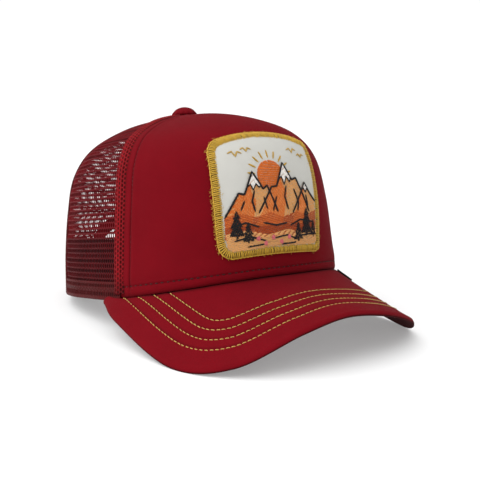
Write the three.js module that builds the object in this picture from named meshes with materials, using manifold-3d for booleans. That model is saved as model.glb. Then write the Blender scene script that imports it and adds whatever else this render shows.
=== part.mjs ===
// Trucker cap with a one-piece fabric front, four net panels, a curved visor, a covered top button,
// a sweatband, a bound opening at the back with a snap strap across it, and a patch on the front.
// Millimetres. The cap is modelled upright, with the button's axis at x = y = 0, the front at -Y, the
// wearer's left at +X and the rim at z = 0, and is then tipped until the visor's two low sides and the
// back of the rim all stand on the same level.
import * as THREE from 'three';
import { mergeVertices } from 'three/addons/utils/BufferGeometryUtils.js';
import Module from 'manifold-3d';

const wasm = await Module();
wasm.setup();

// The crown's outer face, one row for each height, from the rim to the top.
const crownColumns = ['height', 'halfWidth', 'frontReach', 'backReach', 'centreShift', 'frontLift'];
const crownRows = [
  [0, 85, 95.6, 98.5, 0, 0],
  [28.7, 83, 96.2, 102.7, 0, 0],
  [57.5, 79.8, 97.2, 101.7, 0, 0],
  [81.4, 75.6, 93.4, 91.6, 0.6, 3.1],
  [99.4, 64, 82.6, 72.8, 1.8, 1.2],
  [112, 40.6, 63.5, 48.9, 3.5, -1.3],
  [118, 16.7, 35.9, 22.4, 5, -0.6],
  [119.8, 0, 0, 0, 5.5, 0],
];
const rimSquareness = 0.54;
const rimArchHeight = 9.1;
const rimArchPower = 1.22;
const rimArchFade = 3.5;
const rimLeftLift = 1.8;

// The visor's outer edge at half its thickness, from its right corner round the front to its left one.
const visorColumns = ['x', 'y', 'z'];
const visorEdgeRows = [
  [-85.3, -20.8, -2],
  [-92.1, -50.1, -11.8],
  [-89.2, -106.2, -32.9],
  [-68.4, -137.8, -33],
  [-32.2, -153.9, -18.1],
  [0, -155.8, -12.2],
  [35.3, -152.6, -16.3],
  [69, -137.7, -25.5],
  [92.2, -107.3, -32.8],
  [94.6, -53.6, -16],
  [85.2, -20.3, -0.3],
];

// Rise of each side of the visor half-way between the crown and its edge, and how far the rise lies
// towards the edge (above 0) or the crown (below 0).
const visorBulge = { right: 2.2, left: -0.3 };
const visorBulgeLean = { right: -0.54, left: 0.24 };
const visorThickness = 3.4;
const visorEdgeRound = 1.7;
const visorEdgeFlat = 0.8;
const visorAngle = 70.3;
const visorEvenRings = 5;

// Walls, gaps and seams.
const gap = 0.3;
const frontWall = 2.5;
const netWall = 1;
const seamAngleAtRim = 66.7;
const seamAngleAtTop = 63;
const sideSeamAngle = 124;
const backSeamAngle = 180;
const seamStripWidth = 9.4;
const seamStripForward = 1.6;
const seamStripWall = 1;
const seamStripBottom = 0.014;
const seamStripTop = 0.918;

// Sweatband inside the rim.
const sweatbandHeight = 37.7;
const sweatbandWall = 1.5;
const sweatbandClearance = 0.6;
const sweatbandDrop = 3.2;
const sweatbandRise = 0.5;
const sweatbandStepAngle = 75;
const sweatbandStepWidth = 6;
const sweatbandEnd = 45;

// Bound opening at the back, and the strap across it.
const archHalfWidth = 33;
const archHeight = 45;
const archPower = 2.3;
const bindingWidth = 9;
const bindingWall = 2.4;
const bindingProud = 0.6;
const strapLow = 1.6;
const strapHigh = 19.6;
const strapWall = 1.3;
const strapTab = 9;
const strapReach = 21;
const pegPitch = 8.4;
const pegCount = 7;
const pegRadius = 1.7;
const pegHeight = 3;
const holeRadius = 2.1;
const strapEndRound = 6;
const strapDipEnd = 2;
const cutOverrun = 2;

// Covered button on top.
const buttonRadius = 8;
const buttonHeight = 6;
const buttonRim = 1.4;
const buttonUndercut = 0.6;
const buttonStemRadius = 1.7;
const buttonStemLength = 2.6;

// Patch on the front panel, measured along the cloth, with its border. Its corners are listed from the
// top one on the wearer's left, over the top and round. Its top edge is arched.
const patchWidth = 75;
const patchHeight = 71.6;
const patchCorners = [
  { sideX: 1, sideY: 1, radius: 3 },
  { sideX: -1, sideY: 1, radius: 8.5 },
  { sideX: -1, sideY: -1, radius: 9 },
  { sideX: 1, sideY: -1, radius: 4.5 },
];
const patchAcross = -4.5;
const patchUp = 48.4;
const patchBow = { side: 1.6, top: 6.9, bottom: -1.3 };
const patchClearance = 0.7;
const patchGroundWall = 1.2;
const patchBorderWidth = 5.2;
const patchBorderHeight = 2;
const patchBorderFoot = 0.4;
const patchSmallestCorner = 1.5;
const patchSteps = 5;

// Small label on the visor's left side, beside the crown.
const labelFromAngle = 39;
const labelToAngle = 50;
const labelNear = 1;
const labelFar = 13;
const labelWall = 0.8;

const colours = {
  crimson: 0x8a1222,
  crimsonNet: 0x6f101c,
  crimsonStrip: 0xa5162a,
  black: 0x121214,
  white: 0xe9e7e2,
  gold: 0xc9a23a,
};

const degrees = Math.PI / 180;

// Steps of the searches and slopes on the crown's face, and the distance at which points are merged.
const shareStep = 0.005;
const angleStep = 0.5;
const slopeShare = 0.004;
const slopeAngle = 0.4;
const halvings = 30;
const backShareLimit = 0.9;
const backTurnLimit = 60;
const mergeDistance = 0.0001;
const smallest = 0.001;

function smoothstep(value) {
  const x = Math.min(1, Math.max(0, value));
  return x * x * (3 - 2 * x);
}

// Catmull-Rom value at t between p1 and p2.
function spline(p0, p1, p2, p3, t) {
  const linear = (p2 - p0) * t;
  const square = (2 * p0 - 5 * p1 + 4 * p2 - p3) * t * t;
  const cube = (3 * p1 - p0 - 3 * p2 + p3) * t * t * t;
  return (2 * p1 + linear + square + cube) / 2;
}

// Smooth row of a table at share 0 to 1 of its length, with the given rows beyond its two ends.
function tableRow(columns, rows, before, after, share) {
  const place = Math.min(1, Math.max(0, share)) * (rows.length - 1);
  const index = Math.min(rows.length - 2, Math.floor(place));
  const all = [before, ...rows, after];
  const result = {};
  columns.forEach((name, column) => {
    const values = all.slice(index, index + 4).map((row) => row[column]);
    result[name] = spline(...values, place - index);
  });
  return result;
}

// Shares of the height at which the panels have a row of facets: close together round the shoulder.
const panelShares = [
  0, 0.07, 0.14, 0.23, 0.33, 0.43, 0.5, 0.57, 0.64, 0.7, 0.76, 0.82, 0.88, 0.935, 0.98,
];

const crownBefore = crownRows[0].map((value, column) => 2 * value - crownRows[1][column]);
const crownAfter = crownRows[crownRows.length - 2].map((value, column) => {
  const mirrored = ['halfWidth', 'frontReach', 'backReach'].includes(crownColumns[column]);
  return mirrored ? -value : value;
});

// How far the rim arches up over the visor at an angle: a little more on the left.
function rimArch(angle) {
  const turn = Math.min(1, Math.abs(angle) / visorAngle);
  const arch = rimArchHeight * Math.cos(turn * Math.PI / 2) ** rimArchPower;
  return angle > 0 ? arch + rimLeftLift * Math.sin(turn * Math.PI) ** 2 : arch;
}

// Point on the crown's outer face: angle in degrees from the front, positive to the wearer's left, and
// share 0 at the rim to 1 at the top.
function crownFace(angle, share) {
  const row = tableRow(crownColumns, crownRows, crownBefore, crownAfter, share);
  const forward = Math.cos(angle * degrees);
  const sideways = Math.sin(angle * degrees);
  const reach = Math.max(forward > 0 ? row.frontReach : row.backReach, smallest);
  const width = Math.max(row.halfWidth, smallest);
  const power = 2 + rimSquareness * (1 - share);
  const sum = (Math.abs(forward) / reach) ** power + (Math.abs(sideways) / width) ** power;
  const radius = sum ** (-1 / power);
  const lift = row.frontLift * Math.max(0, forward) ** 2;
  const height = row.height + lift + rimArch(angle) * Math.max(0, 1 - rimArchFade * share) ** 2;
  return new THREE.Vector3(radius * sideways, row.centreShift - radius * forward, height);
}

// The same point moved inwards, square to the face, by inset.
function crownPoint(angle, share, inset = 0) {
  const low = Math.max(0, share - slopeShare);
  const high = Math.min(1, share + slopeShare);
  const along = crownFace(angle + slopeAngle, share).sub(crownFace(angle - slopeAngle, share));
  const up = crownFace(angle, high).sub(crownFace(angle, low));
  const outward = along.cross(up).normalize();
  return crownFace(angle, share).addScaledVector(outward, -inset);
}

// Angle that a length of cloth takes at a share of the height.
function angleFor(length, angle, share) {
  const face = crownFace(angle, share);
  const axis = tableRow(crownColumns, crownRows, crownBefore, crownAfter, share).centreShift;
  return length / Math.hypot(face.x, face.y - axis) / degrees;
}

function seamAngle(share) {
  return seamAngleAtRim + (seamAngleAtTop - seamAngleAtRim) * share;
}

// Parameter at which the path of pointAt from 0 has the given length, found in small steps.
function parameterAtLength(pointAt, length, step) {
  let parameter = 0;
  let travelled = 0;
  let last = pointAt(0);
  while (travelled < length) {
    parameter += step;
    const next = pointAt(parameter);
    const stride = next.distanceTo(last);
    if (travelled + stride >= length) {
      return parameter - step + step * (length - travelled) / stride;
    }
    travelled += stride;
    last = next;
  }
  return parameter;
}

// Point over the front panel: across and up are measured along the cloth from the rim's front centre.
function frontPoint(across, up, inset) {
  const share = parameterAtLength((value) => crownFace(0, value), up, shareStep);
  const side = Math.sign(across);
  const round = (value) => crownFace(side * value, share);
  const angle = side * parameterAtLength(round, Math.abs(across), angleStep);
  return crownPoint(angle, share, inset);
}

// Value between low and high at which a rising function reaches the target.
function solve(rising, target, low, high) {
  let from = low;
  let to = high;
  for (let turn = 0; turn < halvings; turn += 1) {
    const middle = (from + to) / 2;
    if (rising(middle) < target) {
      from = middle;
    } else {
      to = middle;
    }
  }
  return (from + to) / 2;
}

// Point at the back of the crown seen straight from behind at x and z.
function backPoint(x, z, inset) {
  const share = solve((value) => crownFace(backSeamAngle, value).z, z, 0, backShareLimit);
  const sideways = (value) => crownFace(backSeamAngle - value, share).x;
  const turn = solve(sideways, Math.abs(x), 0, backTurnLimit);
  return crownPoint((x < 0 ? -1 : 1) * (backSeamAngle - turn), share, inset);
}

// Closed body from points and triangles, with its faces turned outwards.
function closedBody(points, triangles) {
  let volume = 0;
  for (const [a, b, c] of triangles) {
    volume += points[a].dot(points[b].clone().cross(points[c])) / 6;
  }
  const turned = volume < 0 ? triangles.map(([a, b, c]) => [a, c, b]) : triangles;
  const geometry = new THREE.BufferGeometry();
  const numbers = points.flatMap((point) => [point.x, point.y, point.z]);
  geometry.setAttribute('position', new THREE.Float32BufferAttribute(numbers, 3));
  geometry.setIndex(turned.flat());
  return geometry;
}

// Closed sheet from a grid: face(column, row, side) gives the outer face at side 0, the inner at side 1.
function sheetBody(columns, rows, face) {
  const points = [];
  const triangles = [];
  const index = (column, row, side) => (side * (rows + 1) + row) * (columns + 1) + column;
  const quad = (a, b, c, d) => triangles.push([a, b, c], [a, c, d]);
  for (let side = 0; side < 2; side += 1) {
    for (let row = 0; row <= rows; row += 1) {
      for (let column = 0; column <= columns; column += 1) {
        points.push(face(column / columns, row / rows, side));
      }
    }
  }
  for (let row = 0; row < rows; row += 1) {
    for (let column = 0; column < columns; column += 1) {
      const corners = [[column, row], [column + 1, row], [column + 1, row + 1], [column, row + 1]];
      const outer = corners.map(([i, j]) => index(i, j, 0));
      const inner = corners.map(([i, j]) => index(i, j, 1));
      quad(...outer);
      quad(...inner.reverse());
    }
  }
  // Wall between the two faces along an edge of the grid, from one place on it to the next.
  const wall = (from, to) => quad(index(...from, 0), index(...to, 0), index(...to, 1), index(...from, 1));
  for (let column = 0; column < columns; column += 1) {
    wall([column + 1, 0], [column, 0]);
    wall([column, rows], [column + 1, rows]);
  }
  for (let row = 0; row < rows; row += 1) {
    wall([0, row], [0, row + 1]);
    wall([columns, row + 1], [columns, row]);
  }
  return closedBody(points, triangles);
}

// Closed bar or ring through sections that all have the same number of points.
function sectionBody(sections, ring) {
  const size = sections[0].length;
  const points = sections.flat();
  const triangles = [];
  const count = ring ? sections.length : sections.length - 1;
  for (let place = 0; place < count; place += 1) {
    const next = (place + 1) % sections.length;
    for (let corner = 0; corner < size; corner += 1) {
      const other = (corner + 1) % size;
      const a = place * size + corner;
      const b = place * size + other;
      const c = next * size + other;
      const d = next * size + corner;
      triangles.push([a, b, c], [a, c, d]);
    }
  }
  if (!ring) {
    const last = (sections.length - 1) * size;
    for (let corner = 1; corner < size - 1; corner += 1) {
      triangles.push([0, corner + 1, corner], [last, last + corner, last + corner + 1]);
    }
  }
  return closedBody(points, triangles);
}

function toManifold(geometry) {
  const plain = geometry.clone();
  plain.deleteAttribute('normal');
  plain.deleteAttribute('uv');
  const merged = mergeVertices(plain, mergeDistance);
  const mesh = new wasm.Mesh({
    numProp: 3,
    vertProperties: new Float32Array(merged.attributes.position.array),
    triVerts: new Uint32Array(merged.index.array),
  });
  return new wasm.Manifold(mesh);
}

function fromManifold(solid) {
  const mesh = solid.getMesh();
  const geometry = new THREE.BufferGeometry();
  geometry.setAttribute('position', new THREE.Float32BufferAttribute(mesh.vertProperties, 3));
  geometry.setIndex(Array.from(mesh.triVerts));
  return geometry;
}

// Crown panel between two angles that may change with the height.
function panelBody(columns, fromAngle, toAngle, wall) {
  const rows = panelShares.length - 1;
  return sheetBody(columns, rows, (across, up, side) => {
    const share = panelShares[Math.round(up * rows)];
    const from = fromAngle(share);
    const to = toAngle(share);
    const start = from + angleFor(gap / 2, from, share);
    const end = to - angleFor(gap / 2, to, share);
    return crownPoint(start + (end - start) * across, share, side * wall);
  });
}

function frontPanel() {
  return panelBody(30, (share) => -seamAngle(share), seamAngle, frontWall);
}

function netSide(hand) {
  const near = (share) => hand * seamAngle(share);
  const far = () => hand * sideSeamAngle;
  return hand > 0 ? panelBody(9, near, far, netWall) : panelBody(9, far, near, netWall);
}

// Half of the outline of the opening at the back, grown outwards by extra: x for a turn of 0 at the rim
// to 1 at the top centre.
function archPoint(turn, extra) {
  const angle = turn * Math.PI / 2;
  const x = (archHalfWidth + extra) * Math.pow(Math.cos(angle), 2 / archPower);
  const z = (archHeight + extra) * Math.pow(Math.sin(angle), 2 / archPower);
  return new THREE.Vector2(x, z);
}

// Whole outline from the right foot over the top to the left foot.
function archOutline(steps, extra) {
  const left = [];
  for (let step = 0; step <= steps; step += 1) {
    left.push(archPoint(step / steps, extra));
  }
  const right = left.slice(0, steps).map((point) => new THREE.Vector2(-point.x, point.y));
  return [...right, ...left.reverse()];
}

// Prism that cuts the opening, and the room for its binding, out of the two back panels.
function archCutter() {
  const below = 20;
  const depth = 80;
  const grown = bindingWidth + gap;
  const foot = archHalfWidth + grown;
  const corners = [-foot, foot].map((x) => new THREE.Vector2(x, -below));
  const shape = new THREE.Shape([corners[0], ...archOutline(10, grown), corners[1]]);
  const prism = new THREE.ExtrudeGeometry(shape, { depth, bevelEnabled: false });
  prism.rotateX(Math.PI / 2);
  prism.translate(0, depth + archHalfWidth, 0);
  return toManifold(prism);
}

function netBack(hand) {
  const near = () => hand * sideSeamAngle;
  const far = () => hand * backSeamAngle;
  const whole = hand > 0 ? panelBody(9, near, far, netWall) : panelBody(9, far, near, netWall);
  return fromManifold(toManifold(whole).subtract(archCutter()));
}

function archBinding() {
  const outer = archOutline(12, bindingWidth);
  const inner = archOutline(12, 0);
  const out = -bindingProud;
  const into = bindingWall - bindingProud;
  const sections = inner.map((edge, place) => {
    const far = outer[place];
    return [
      backPoint(edge.x, edge.y, out),
      backPoint(far.x, far.y, out),
      backPoint(far.x, far.y, into),
      backPoint(edge.x, edge.y, into),
    ];
  });
  return sectionBody(sections, false);
}

// Strip over the seam between the front and the net.
function seamStrip(hand) {
  const rows = panelShares.length - 2;
  return sheetBody(2, rows, (across, up, side) => {
    const row = panelShares[Math.round(up * rows)];
    const share = Math.min(seamStripTop, Math.max(seamStripBottom, row));
    const seam = seamAngle(share);
    const middle = seam - angleFor(seamStripForward * (1 - share), seam, share);
    const half = angleFor(seamStripWidth / 2, seam, share);
    const angle = hand * (middle + (across * 2 - 1) * half);
    return crownPoint(angle, share, -gap - seamStripWall * (1 - side));
  });
}

function sweatband() {
  const top = solve((share) => crownFace(backSeamAngle, share).z, sweatbandHeight, 0, backShareLimit);
  const end = backSeamAngle - angleFor(sweatbandEnd, backSeamAngle, 0);
  return sheetBody(54, 2, (across, up, side) => {
    const angle = end * (across * 2 - 1);
    const past = smoothstep((Math.abs(angle) - sweatbandStepAngle) / sweatbandStepWidth);
    const wall = frontWall + (netWall - frontWall) * past;
    const point = crownPoint(angle, up * top, wall + sweatbandClearance + side * sweatbandWall);
    const shift = sweatbandRise + (-sweatbandDrop - sweatbandRise) * (1 - past);
    point.z += shift * (1 - up);
    return point;
  });
}

const visorBefore = visorEdgeRows[0].map((value, column) => 2 * value - visorEdgeRows[1][column]);
const [visorSecondLast, visorLast] = visorEdgeRows.slice(-2);
const visorAfter = visorLast.map((value, column) => 2 * value - visorSecondLast[column]);

// Visor's outer edge at half its thickness, for -1 at the right corner to 1 at the left corner.
function visorEdge(turn) {
  const row = tableRow(visorColumns, visorEdgeRows, visorBefore, visorAfter, (turn + 1) / 2);
  return new THREE.Vector3(row.x, row.y, row.z);
}

// Visor's upper face: out is 0 at the crown's face and 1 at the outer edge.
function visorTop(turn, out) {
  const root = crownPoint(turn * visorAngle, 0);
  root.z -= gap;
  const edge = visorEdge(turn);
  edge.z += visorThickness / 2;
  const point = root.lerp(edge, out);
  const side = turn > 0 ? 'left' : 'right';
  const lean = 1 + visorBulgeLean[side] * (2 * out - 1);
  point.z += visorBulge[side] * turn * turn * 4 * out * (1 - out) * lean;
  return point;
}

function visorLength(turn) {
  return visorTop(turn, 0).distanceTo(visorTop(turn, 1));
}

// Shares of the way out at which the visor has a ring of facets: even ones, then three at the edge,
// which is round from the share given by straight.
function visorRings(straight) {
  const even = [];
  for (let ring = 0; ring < visorEvenRings; ring += 1) {
    even.push(straight * ring / visorEvenRings);
  }
  return [...even, straight, (straight + 1) / 2, 1];
}

function visor() {
  const rings = visorRings(1).length;
  return sheetBody(40, rings, (across, step, side) => {
    const turn = across * 2 - 1;
    if (step === 0) {
      const tucked = crownPoint(turn * visorAngle, 0, frontWall);
      tucked.z -= gap + side * visorThickness;
      return tucked;
    }
    const length = visorLength(turn);
    const straight = Math.max(0, 1 - visorEdgeRound / length);
    const out = visorRings(straight)[Math.round(step * rings) - 1];
    const left = (1 - out) * length / visorEdgeRound;
    const round = left < 1 ? Math.sqrt(1 - (1 - left) ** 2) : 1;
    const half = Math.max(visorEdgeFlat, visorThickness * round) / 2;
    const point = visorTop(turn, out);
    point.z += (side === 0 ? half : -half) - visorThickness / 2;
    return point;
  });
}

function topButton() {
  const profile = [
    new THREE.Vector2(0, -buttonStemLength),
    new THREE.Vector2(buttonStemRadius, -buttonStemLength),
    new THREE.Vector2(buttonStemRadius, gap),
    new THREE.Vector2(buttonRadius - buttonUndercut, gap),
  ];
  const steps = 6;
  for (let step = 0; step <= steps; step += 1) {
    const angle = step / steps * Math.PI / 2;
    const height = buttonRim + (buttonHeight - buttonRim) * Math.sin(angle);
    profile.push(new THREE.Vector2(step === steps ? 0 : buttonRadius * Math.cos(angle), height));
  }
  const dome = new THREE.LatheGeometry(profile, 20);
  dome.rotateX(Math.PI / 2);
  dome.deleteAttribute('normal');
  dome.deleteAttribute('uv');
  const whole = mergeVertices(dome, mergeDistance);
  const top = crownFace(0, 1);
  return whole.translate(top.x, top.y, top.z);
}

// Outline of the patch, shrunk by inset: a rounded rectangle whose sides bow out or in a little.
function patchOutline(inset) {
  const halfWidth = patchWidth / 2 - inset;
  const halfHeight = patchHeight / 2 - inset;
  const radiusAt = (corner) => Math.max(patchSmallestCorner, patchCorners[corner % 4].radius - inset);
  // End of a corner's arc on the side that runs to the next corner, or from the last one.
  const arcEnd = (corner, alongTop) => {
    const { sideX, sideY } = patchCorners[corner % 4];
    const x = halfWidth - (alongTop ? radiusAt(corner) : 0);
    const y = halfHeight - (alongTop ? 0 : radiusAt(corner));
    return new THREE.Vector2(sideX * x, sideY * y);
  };
  const points = [];
  patchCorners.forEach(({ sideX, sideY }, corner) => {
    const radius = radiusAt(corner);
    for (let step = 0; step <= patchSteps; step += 1) {
      const angle = (corner + step / patchSteps) * Math.PI / 2;
      const x = sideX * (halfWidth - radius) + radius * Math.cos(angle);
      const y = sideY * (halfHeight - radius) + radius * Math.sin(angle);
      points.push(new THREE.Vector2(x, y));
    }
    const alongTop = corner % 2 === 0;
    for (let step = 1; step < patchSteps; step += 1) {
      points.push(arcEnd(corner, alongTop).lerp(arcEnd(corner + 1, alongTop), step / patchSteps));
    }
  });
  // Outward bow of a side at reach from the patch's middle and along it, both as shares of its half.
  const bow = (most, reach, along) => most * (1 - along ** 2) * Math.sign(reach) * reach ** 4;
  return points.map(({ x, y }) => {
    const [shareX, shareY] = [x / halfWidth, y / halfHeight];
    const high = y > 0 ? patchBow.top : patchBow.bottom;
    return [x + bow(patchBow.side, shareX, shareY), y + bow(high, shareY, shareX)];
  });
}

function patchPoint(x, y, height) {
  return frontPoint(patchAcross + x, patchUp + y, -patchClearance - height);
}

function patchGround() {
  const outline = patchOutline(patchBorderWidth + gap);
  const rings = 5;
  const points = [];
  const triangles = [];
  const count = outline.length;
  for (let side = 0; side < 2; side += 1) {
    const height = side * patchGroundWall;
    points.push(patchPoint(0, 0, height));
    for (let ring = 1; ring <= rings; ring += 1) {
      points.push(...outline.map(([x, y]) => patchPoint(x * ring / rings, y * ring / rings, height)));
    }
  }
  const sideSize = 1 + rings * count;
  const inSide = (ring, place) => (ring === 0 ? 0 : 1 + (ring - 1) * count + place % count);
  const index = (side, ring, place) => side * sideSize + inSide(ring, place);
  for (let place = 0; place < count; place += 1) {
    for (let ring = 1; ring <= rings; ring += 1) {
      for (let side = 0; side < 2; side += 1) {
        const a = index(side, ring - 1, place);
        const b = index(side, ring, place);
        const c = index(side, ring, place + 1);
        const d = index(side, ring - 1, place + 1);
        const faces = ring === 1 ? [[a, b, c]] : [[a, b, c], [a, c, d]];
        triangles.push(...faces.map(([p, q, r]) => (side === 1 ? [p, q, r] : [p, r, q])));
      }
    }
    const [low, lowNext] = [index(0, rings, place), index(0, rings, place + 1)];
    const [high, highNext] = [index(1, rings, place), index(1, rings, place + 1)];
    triangles.push([low, lowNext, highNext], [low, highNext, high]);
  }
  return closedBody(points, triangles);
}

function patchBorder() {
  const corners = 5;
  const outlines = [];
  for (let corner = 0; corner <= corners; corner += 1) {
    const angle = Math.PI * corner / corners;
    const outline = patchOutline(patchBorderWidth * (1 - Math.cos(angle)) / 2);
    const height = patchBorderFoot + (patchBorderHeight - patchBorderFoot) * Math.sin(angle);
    outlines.push({ outline, height });
  }
  const base = [outlines[corners], outlines[0]].map(({ outline }) => ({ outline, height: 0 }));
  const sections = outlines[0].outline.map((_, place) => (
    [...outlines, ...base].map(({ outline, height }) => patchPoint(...outline[place], height))
  ));
  return sectionBody(sections, true);
}

function sideLabel() {
  return sheetBody(5, 2, (across, step, side) => {
    const turn = (labelFromAngle + (labelToAngle - labelFromAngle) * across) / visorAngle;
    const point = visorTop(turn, (labelNear + (labelFar - labelNear) * step) / visorLength(turn));
    point.z += gap + labelWall * (1 - side);
    return point;
  });
}

// How far inside the crown's face a strap half lies at x, measured from its own side.
const strapOuterInset = bindingWall - bindingProud + gap;
const strapInnerInset = strapOuterInset + strapWall + gap;

// Strap half that is sewn in at the side given by hand and reaches past the middle.
function strapBand(hand, insetAt) {
  const columns = 14;
  const start = archHalfWidth + strapTab;
  const middle = (strapLow + strapHigh) / 2;
  const tall = (strapHigh - strapLow) / 2;
  return sheetBody(columns, 2, (across, up, side) => {
    const x = start - (start + strapReach) * across;
    const toEnd = x + strapReach;
    const left = Math.min(1, toEnd / strapEndRound);
    const half = tall - strapEndRound + strapEndRound * Math.sqrt(Math.max(0, 1 - (1 - left) ** 2));
    return backPoint(hand * x, middle + half * (up * 2 - 1), insetAt(x) + side * strapWall);
  });
}

// Round bars across the strap at each of the places, between two insets that may change along it.
function strapBars(radius, fromInset, toInset, places) {
  const middle = (strapLow + strapHigh) / 2;
  return places.map((x) => {
    const from = backPoint(x, middle, fromInset(x));
    const to = backPoint(x, middle, toInset(x));
    const bar = new THREE.CylinderGeometry(radius, radius, from.distanceTo(to), 10);
    const direction = to.clone().sub(from).normalize();
    bar.applyQuaternion(new THREE.Quaternion().setFromUnitVectors(new THREE.Vector3(0, 1, 0), direction));
    bar.translate(...from.add(to).divideScalar(2).toArray());
    return toManifold(bar);
  });
}

function pegPlaces(hand) {
  const places = [];
  for (let peg = 0; peg < pegCount; peg += 1) {
    const x = -strapReach + pegPitch / 2 + peg * pegPitch;
    places.push(hand * x);
  }
  return places;
}

function strapWithHoles() {
  const band = toManifold(strapBand(1, () => strapOuterInset));
  const outside = () => -cutOverrun;
  const inside = () => strapInnerInset + cutOverrun;
  const holes = strapBars(holeRadius, outside, inside, pegPlaces(1));
  return fromManifold(holes.reduce((solid, hole) => solid.subtract(hole), band));
}

// Inset of the strap with pegs at x from the middle, positive towards its own side: it dips under the
// other half where the two overlap.
function pegStrapInset(x) {
  const under = smoothstep((archHalfWidth - x) / (archHalfWidth - strapReach - strapDipEnd));
  return strapOuterInset + (strapInnerInset - strapOuterInset) * under;
}

function strapWithPegs() {
  const band = toManifold(strapBand(-1, pegStrapInset));
  const root = (x) => pegStrapInset(-x) + strapWall / 2;
  const tip = (x) => pegStrapInset(-x) - pegHeight;
  const pegs = strapBars(pegRadius, root, tip, pegPlaces(-1).slice(0, pegCount - 1));
  return fromManifold(pegs.reduce((solid, peg) => solid.add(peg), band));
}

const finishes = {
  cloth: { roughness: 0.92, metalness: 0 },
  thread: { roughness: 0.6, metalness: 0 },
  plastic: { roughness: 0.4, metalness: 0 },
};

const cap = new THREE.Group();

function add(name, geometry, colour, finish) {
  const material = new THREE.MeshStandardMaterial({ color: colour, ...finishes[finish] });
  const mesh = new THREE.Mesh(geometry, material);
  mesh.name = name;
  cap.add(mesh);
  return mesh;
}

add('front_panel', frontPanel(), colours.crimson, 'cloth');
add('net_side_right', netSide(-1), colours.crimsonNet, 'cloth');
add('net_side_left', netSide(1), colours.crimsonNet, 'cloth');
const backRight = add('net_back_right', netBack(-1), colours.crimsonNet, 'cloth');
const backLeft = add('net_back_left', netBack(1), colours.crimsonNet, 'cloth');
add('seam_strip_right', seamStrip(-1), colours.crimsonStrip, 'cloth');
add('seam_strip_left', seamStrip(1), colours.crimsonStrip, 'cloth');
add('top_button', topButton(), colours.crimson, 'cloth');
const visorMesh = add('visor', visor(), colours.crimson, 'cloth');
add('sweatband', sweatband(), colours.black, 'cloth');
const bindingMesh = add('arch_binding', archBinding(), colours.crimson, 'cloth');
add('strap_with_holes', strapWithHoles(), colours.black, 'plastic');
add('strap_with_pegs', strapWithPegs(), colours.black, 'plastic');
add('patch_ground', patchGround(), colours.white, 'cloth');
add('patch_border', patchBorder(), colours.gold, 'thread');
add('side_label', sideLabel(), colours.black, 'cloth');

// Lowest point of the meshes, on one side of the cap or on both, once the cap is tipped and rolled.
function lowest(meshes, side) {
  cap.updateMatrixWorld(true);
  let low = Infinity;
  for (const mesh of meshes) {
    const position = mesh.geometry.attributes.position;
    for (let place = 0; place < position.count; place += 1) {
      const point = new THREE.Vector3().fromBufferAttribute(position, place);
      if (point.x * side >= 0) {
        low = Math.min(low, point.applyMatrix4(mesh.matrixWorld).z);
      }
    }
  }
  return low;
}

// The cap is tipped back and rolled until both sides of the visor and the back of the rim stand level.
const backMeshes = [backRight, backLeft, bindingMesh];
const mostTip = 20 * degrees;
const tipRounds = 6;
for (let round = 0; round < tipRounds; round += 1) {
  const pitch = solve((value) => {
    cap.rotation.x = -value;
    return lowest([visorMesh], 0) - lowest(backMeshes, 0);
  }, 0, 0, mostTip);
  cap.rotation.x = -pitch;
  cap.rotation.y = solve((value) => {
    cap.rotation.y = value;
    return lowest([visorMesh], -1) - lowest([visorMesh], 1);
  }, 0, -mostTip, mostTip);
}

cap.updateMatrixWorld(true);
const box = new THREE.Box3().setFromObject(cap, true);
const centre = box.getCenter(new THREE.Vector3());
cap.position.set(-centre.x, -centre.y, -box.min.z);

export default cap;
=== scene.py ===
import math
from functools import partial

import bpy
import numpy as np
from mathutils import Matrix, Vector


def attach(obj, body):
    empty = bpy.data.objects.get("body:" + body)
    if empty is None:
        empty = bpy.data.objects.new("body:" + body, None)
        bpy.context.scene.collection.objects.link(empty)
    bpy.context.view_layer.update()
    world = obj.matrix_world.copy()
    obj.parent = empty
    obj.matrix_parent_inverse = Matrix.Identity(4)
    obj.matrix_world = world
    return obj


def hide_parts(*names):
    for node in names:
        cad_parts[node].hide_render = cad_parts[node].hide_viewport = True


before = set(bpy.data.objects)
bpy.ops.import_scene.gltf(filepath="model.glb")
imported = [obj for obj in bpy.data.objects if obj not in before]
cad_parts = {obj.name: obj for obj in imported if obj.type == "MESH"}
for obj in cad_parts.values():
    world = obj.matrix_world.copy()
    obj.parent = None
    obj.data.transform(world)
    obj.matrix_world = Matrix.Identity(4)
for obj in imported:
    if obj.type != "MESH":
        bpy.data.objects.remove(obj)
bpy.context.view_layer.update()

# Trucker cap: the looks of every piece, made round the CAD frame. Sizes are in millimetres in the
# cap's own upright frame (front at -Y, wearer's left at +X, rim at z = 0), and each finished mesh is
# moved to where the tipped cap stands, in metres.
random = np.random.default_rng(7)

cap_tip = math.radians(-9.4918)
cap_roll = math.radians(0.1482)
cap_shift = Vector((-1.4254, 22.9454, 15.8966))
cap_turn = Matrix.Rotation(cap_tip, 4, "X") @ Matrix.Rotation(cap_roll, 4, "Y")
cap_place = Matrix.Translation(cap_shift) @ cap_turn

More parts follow.
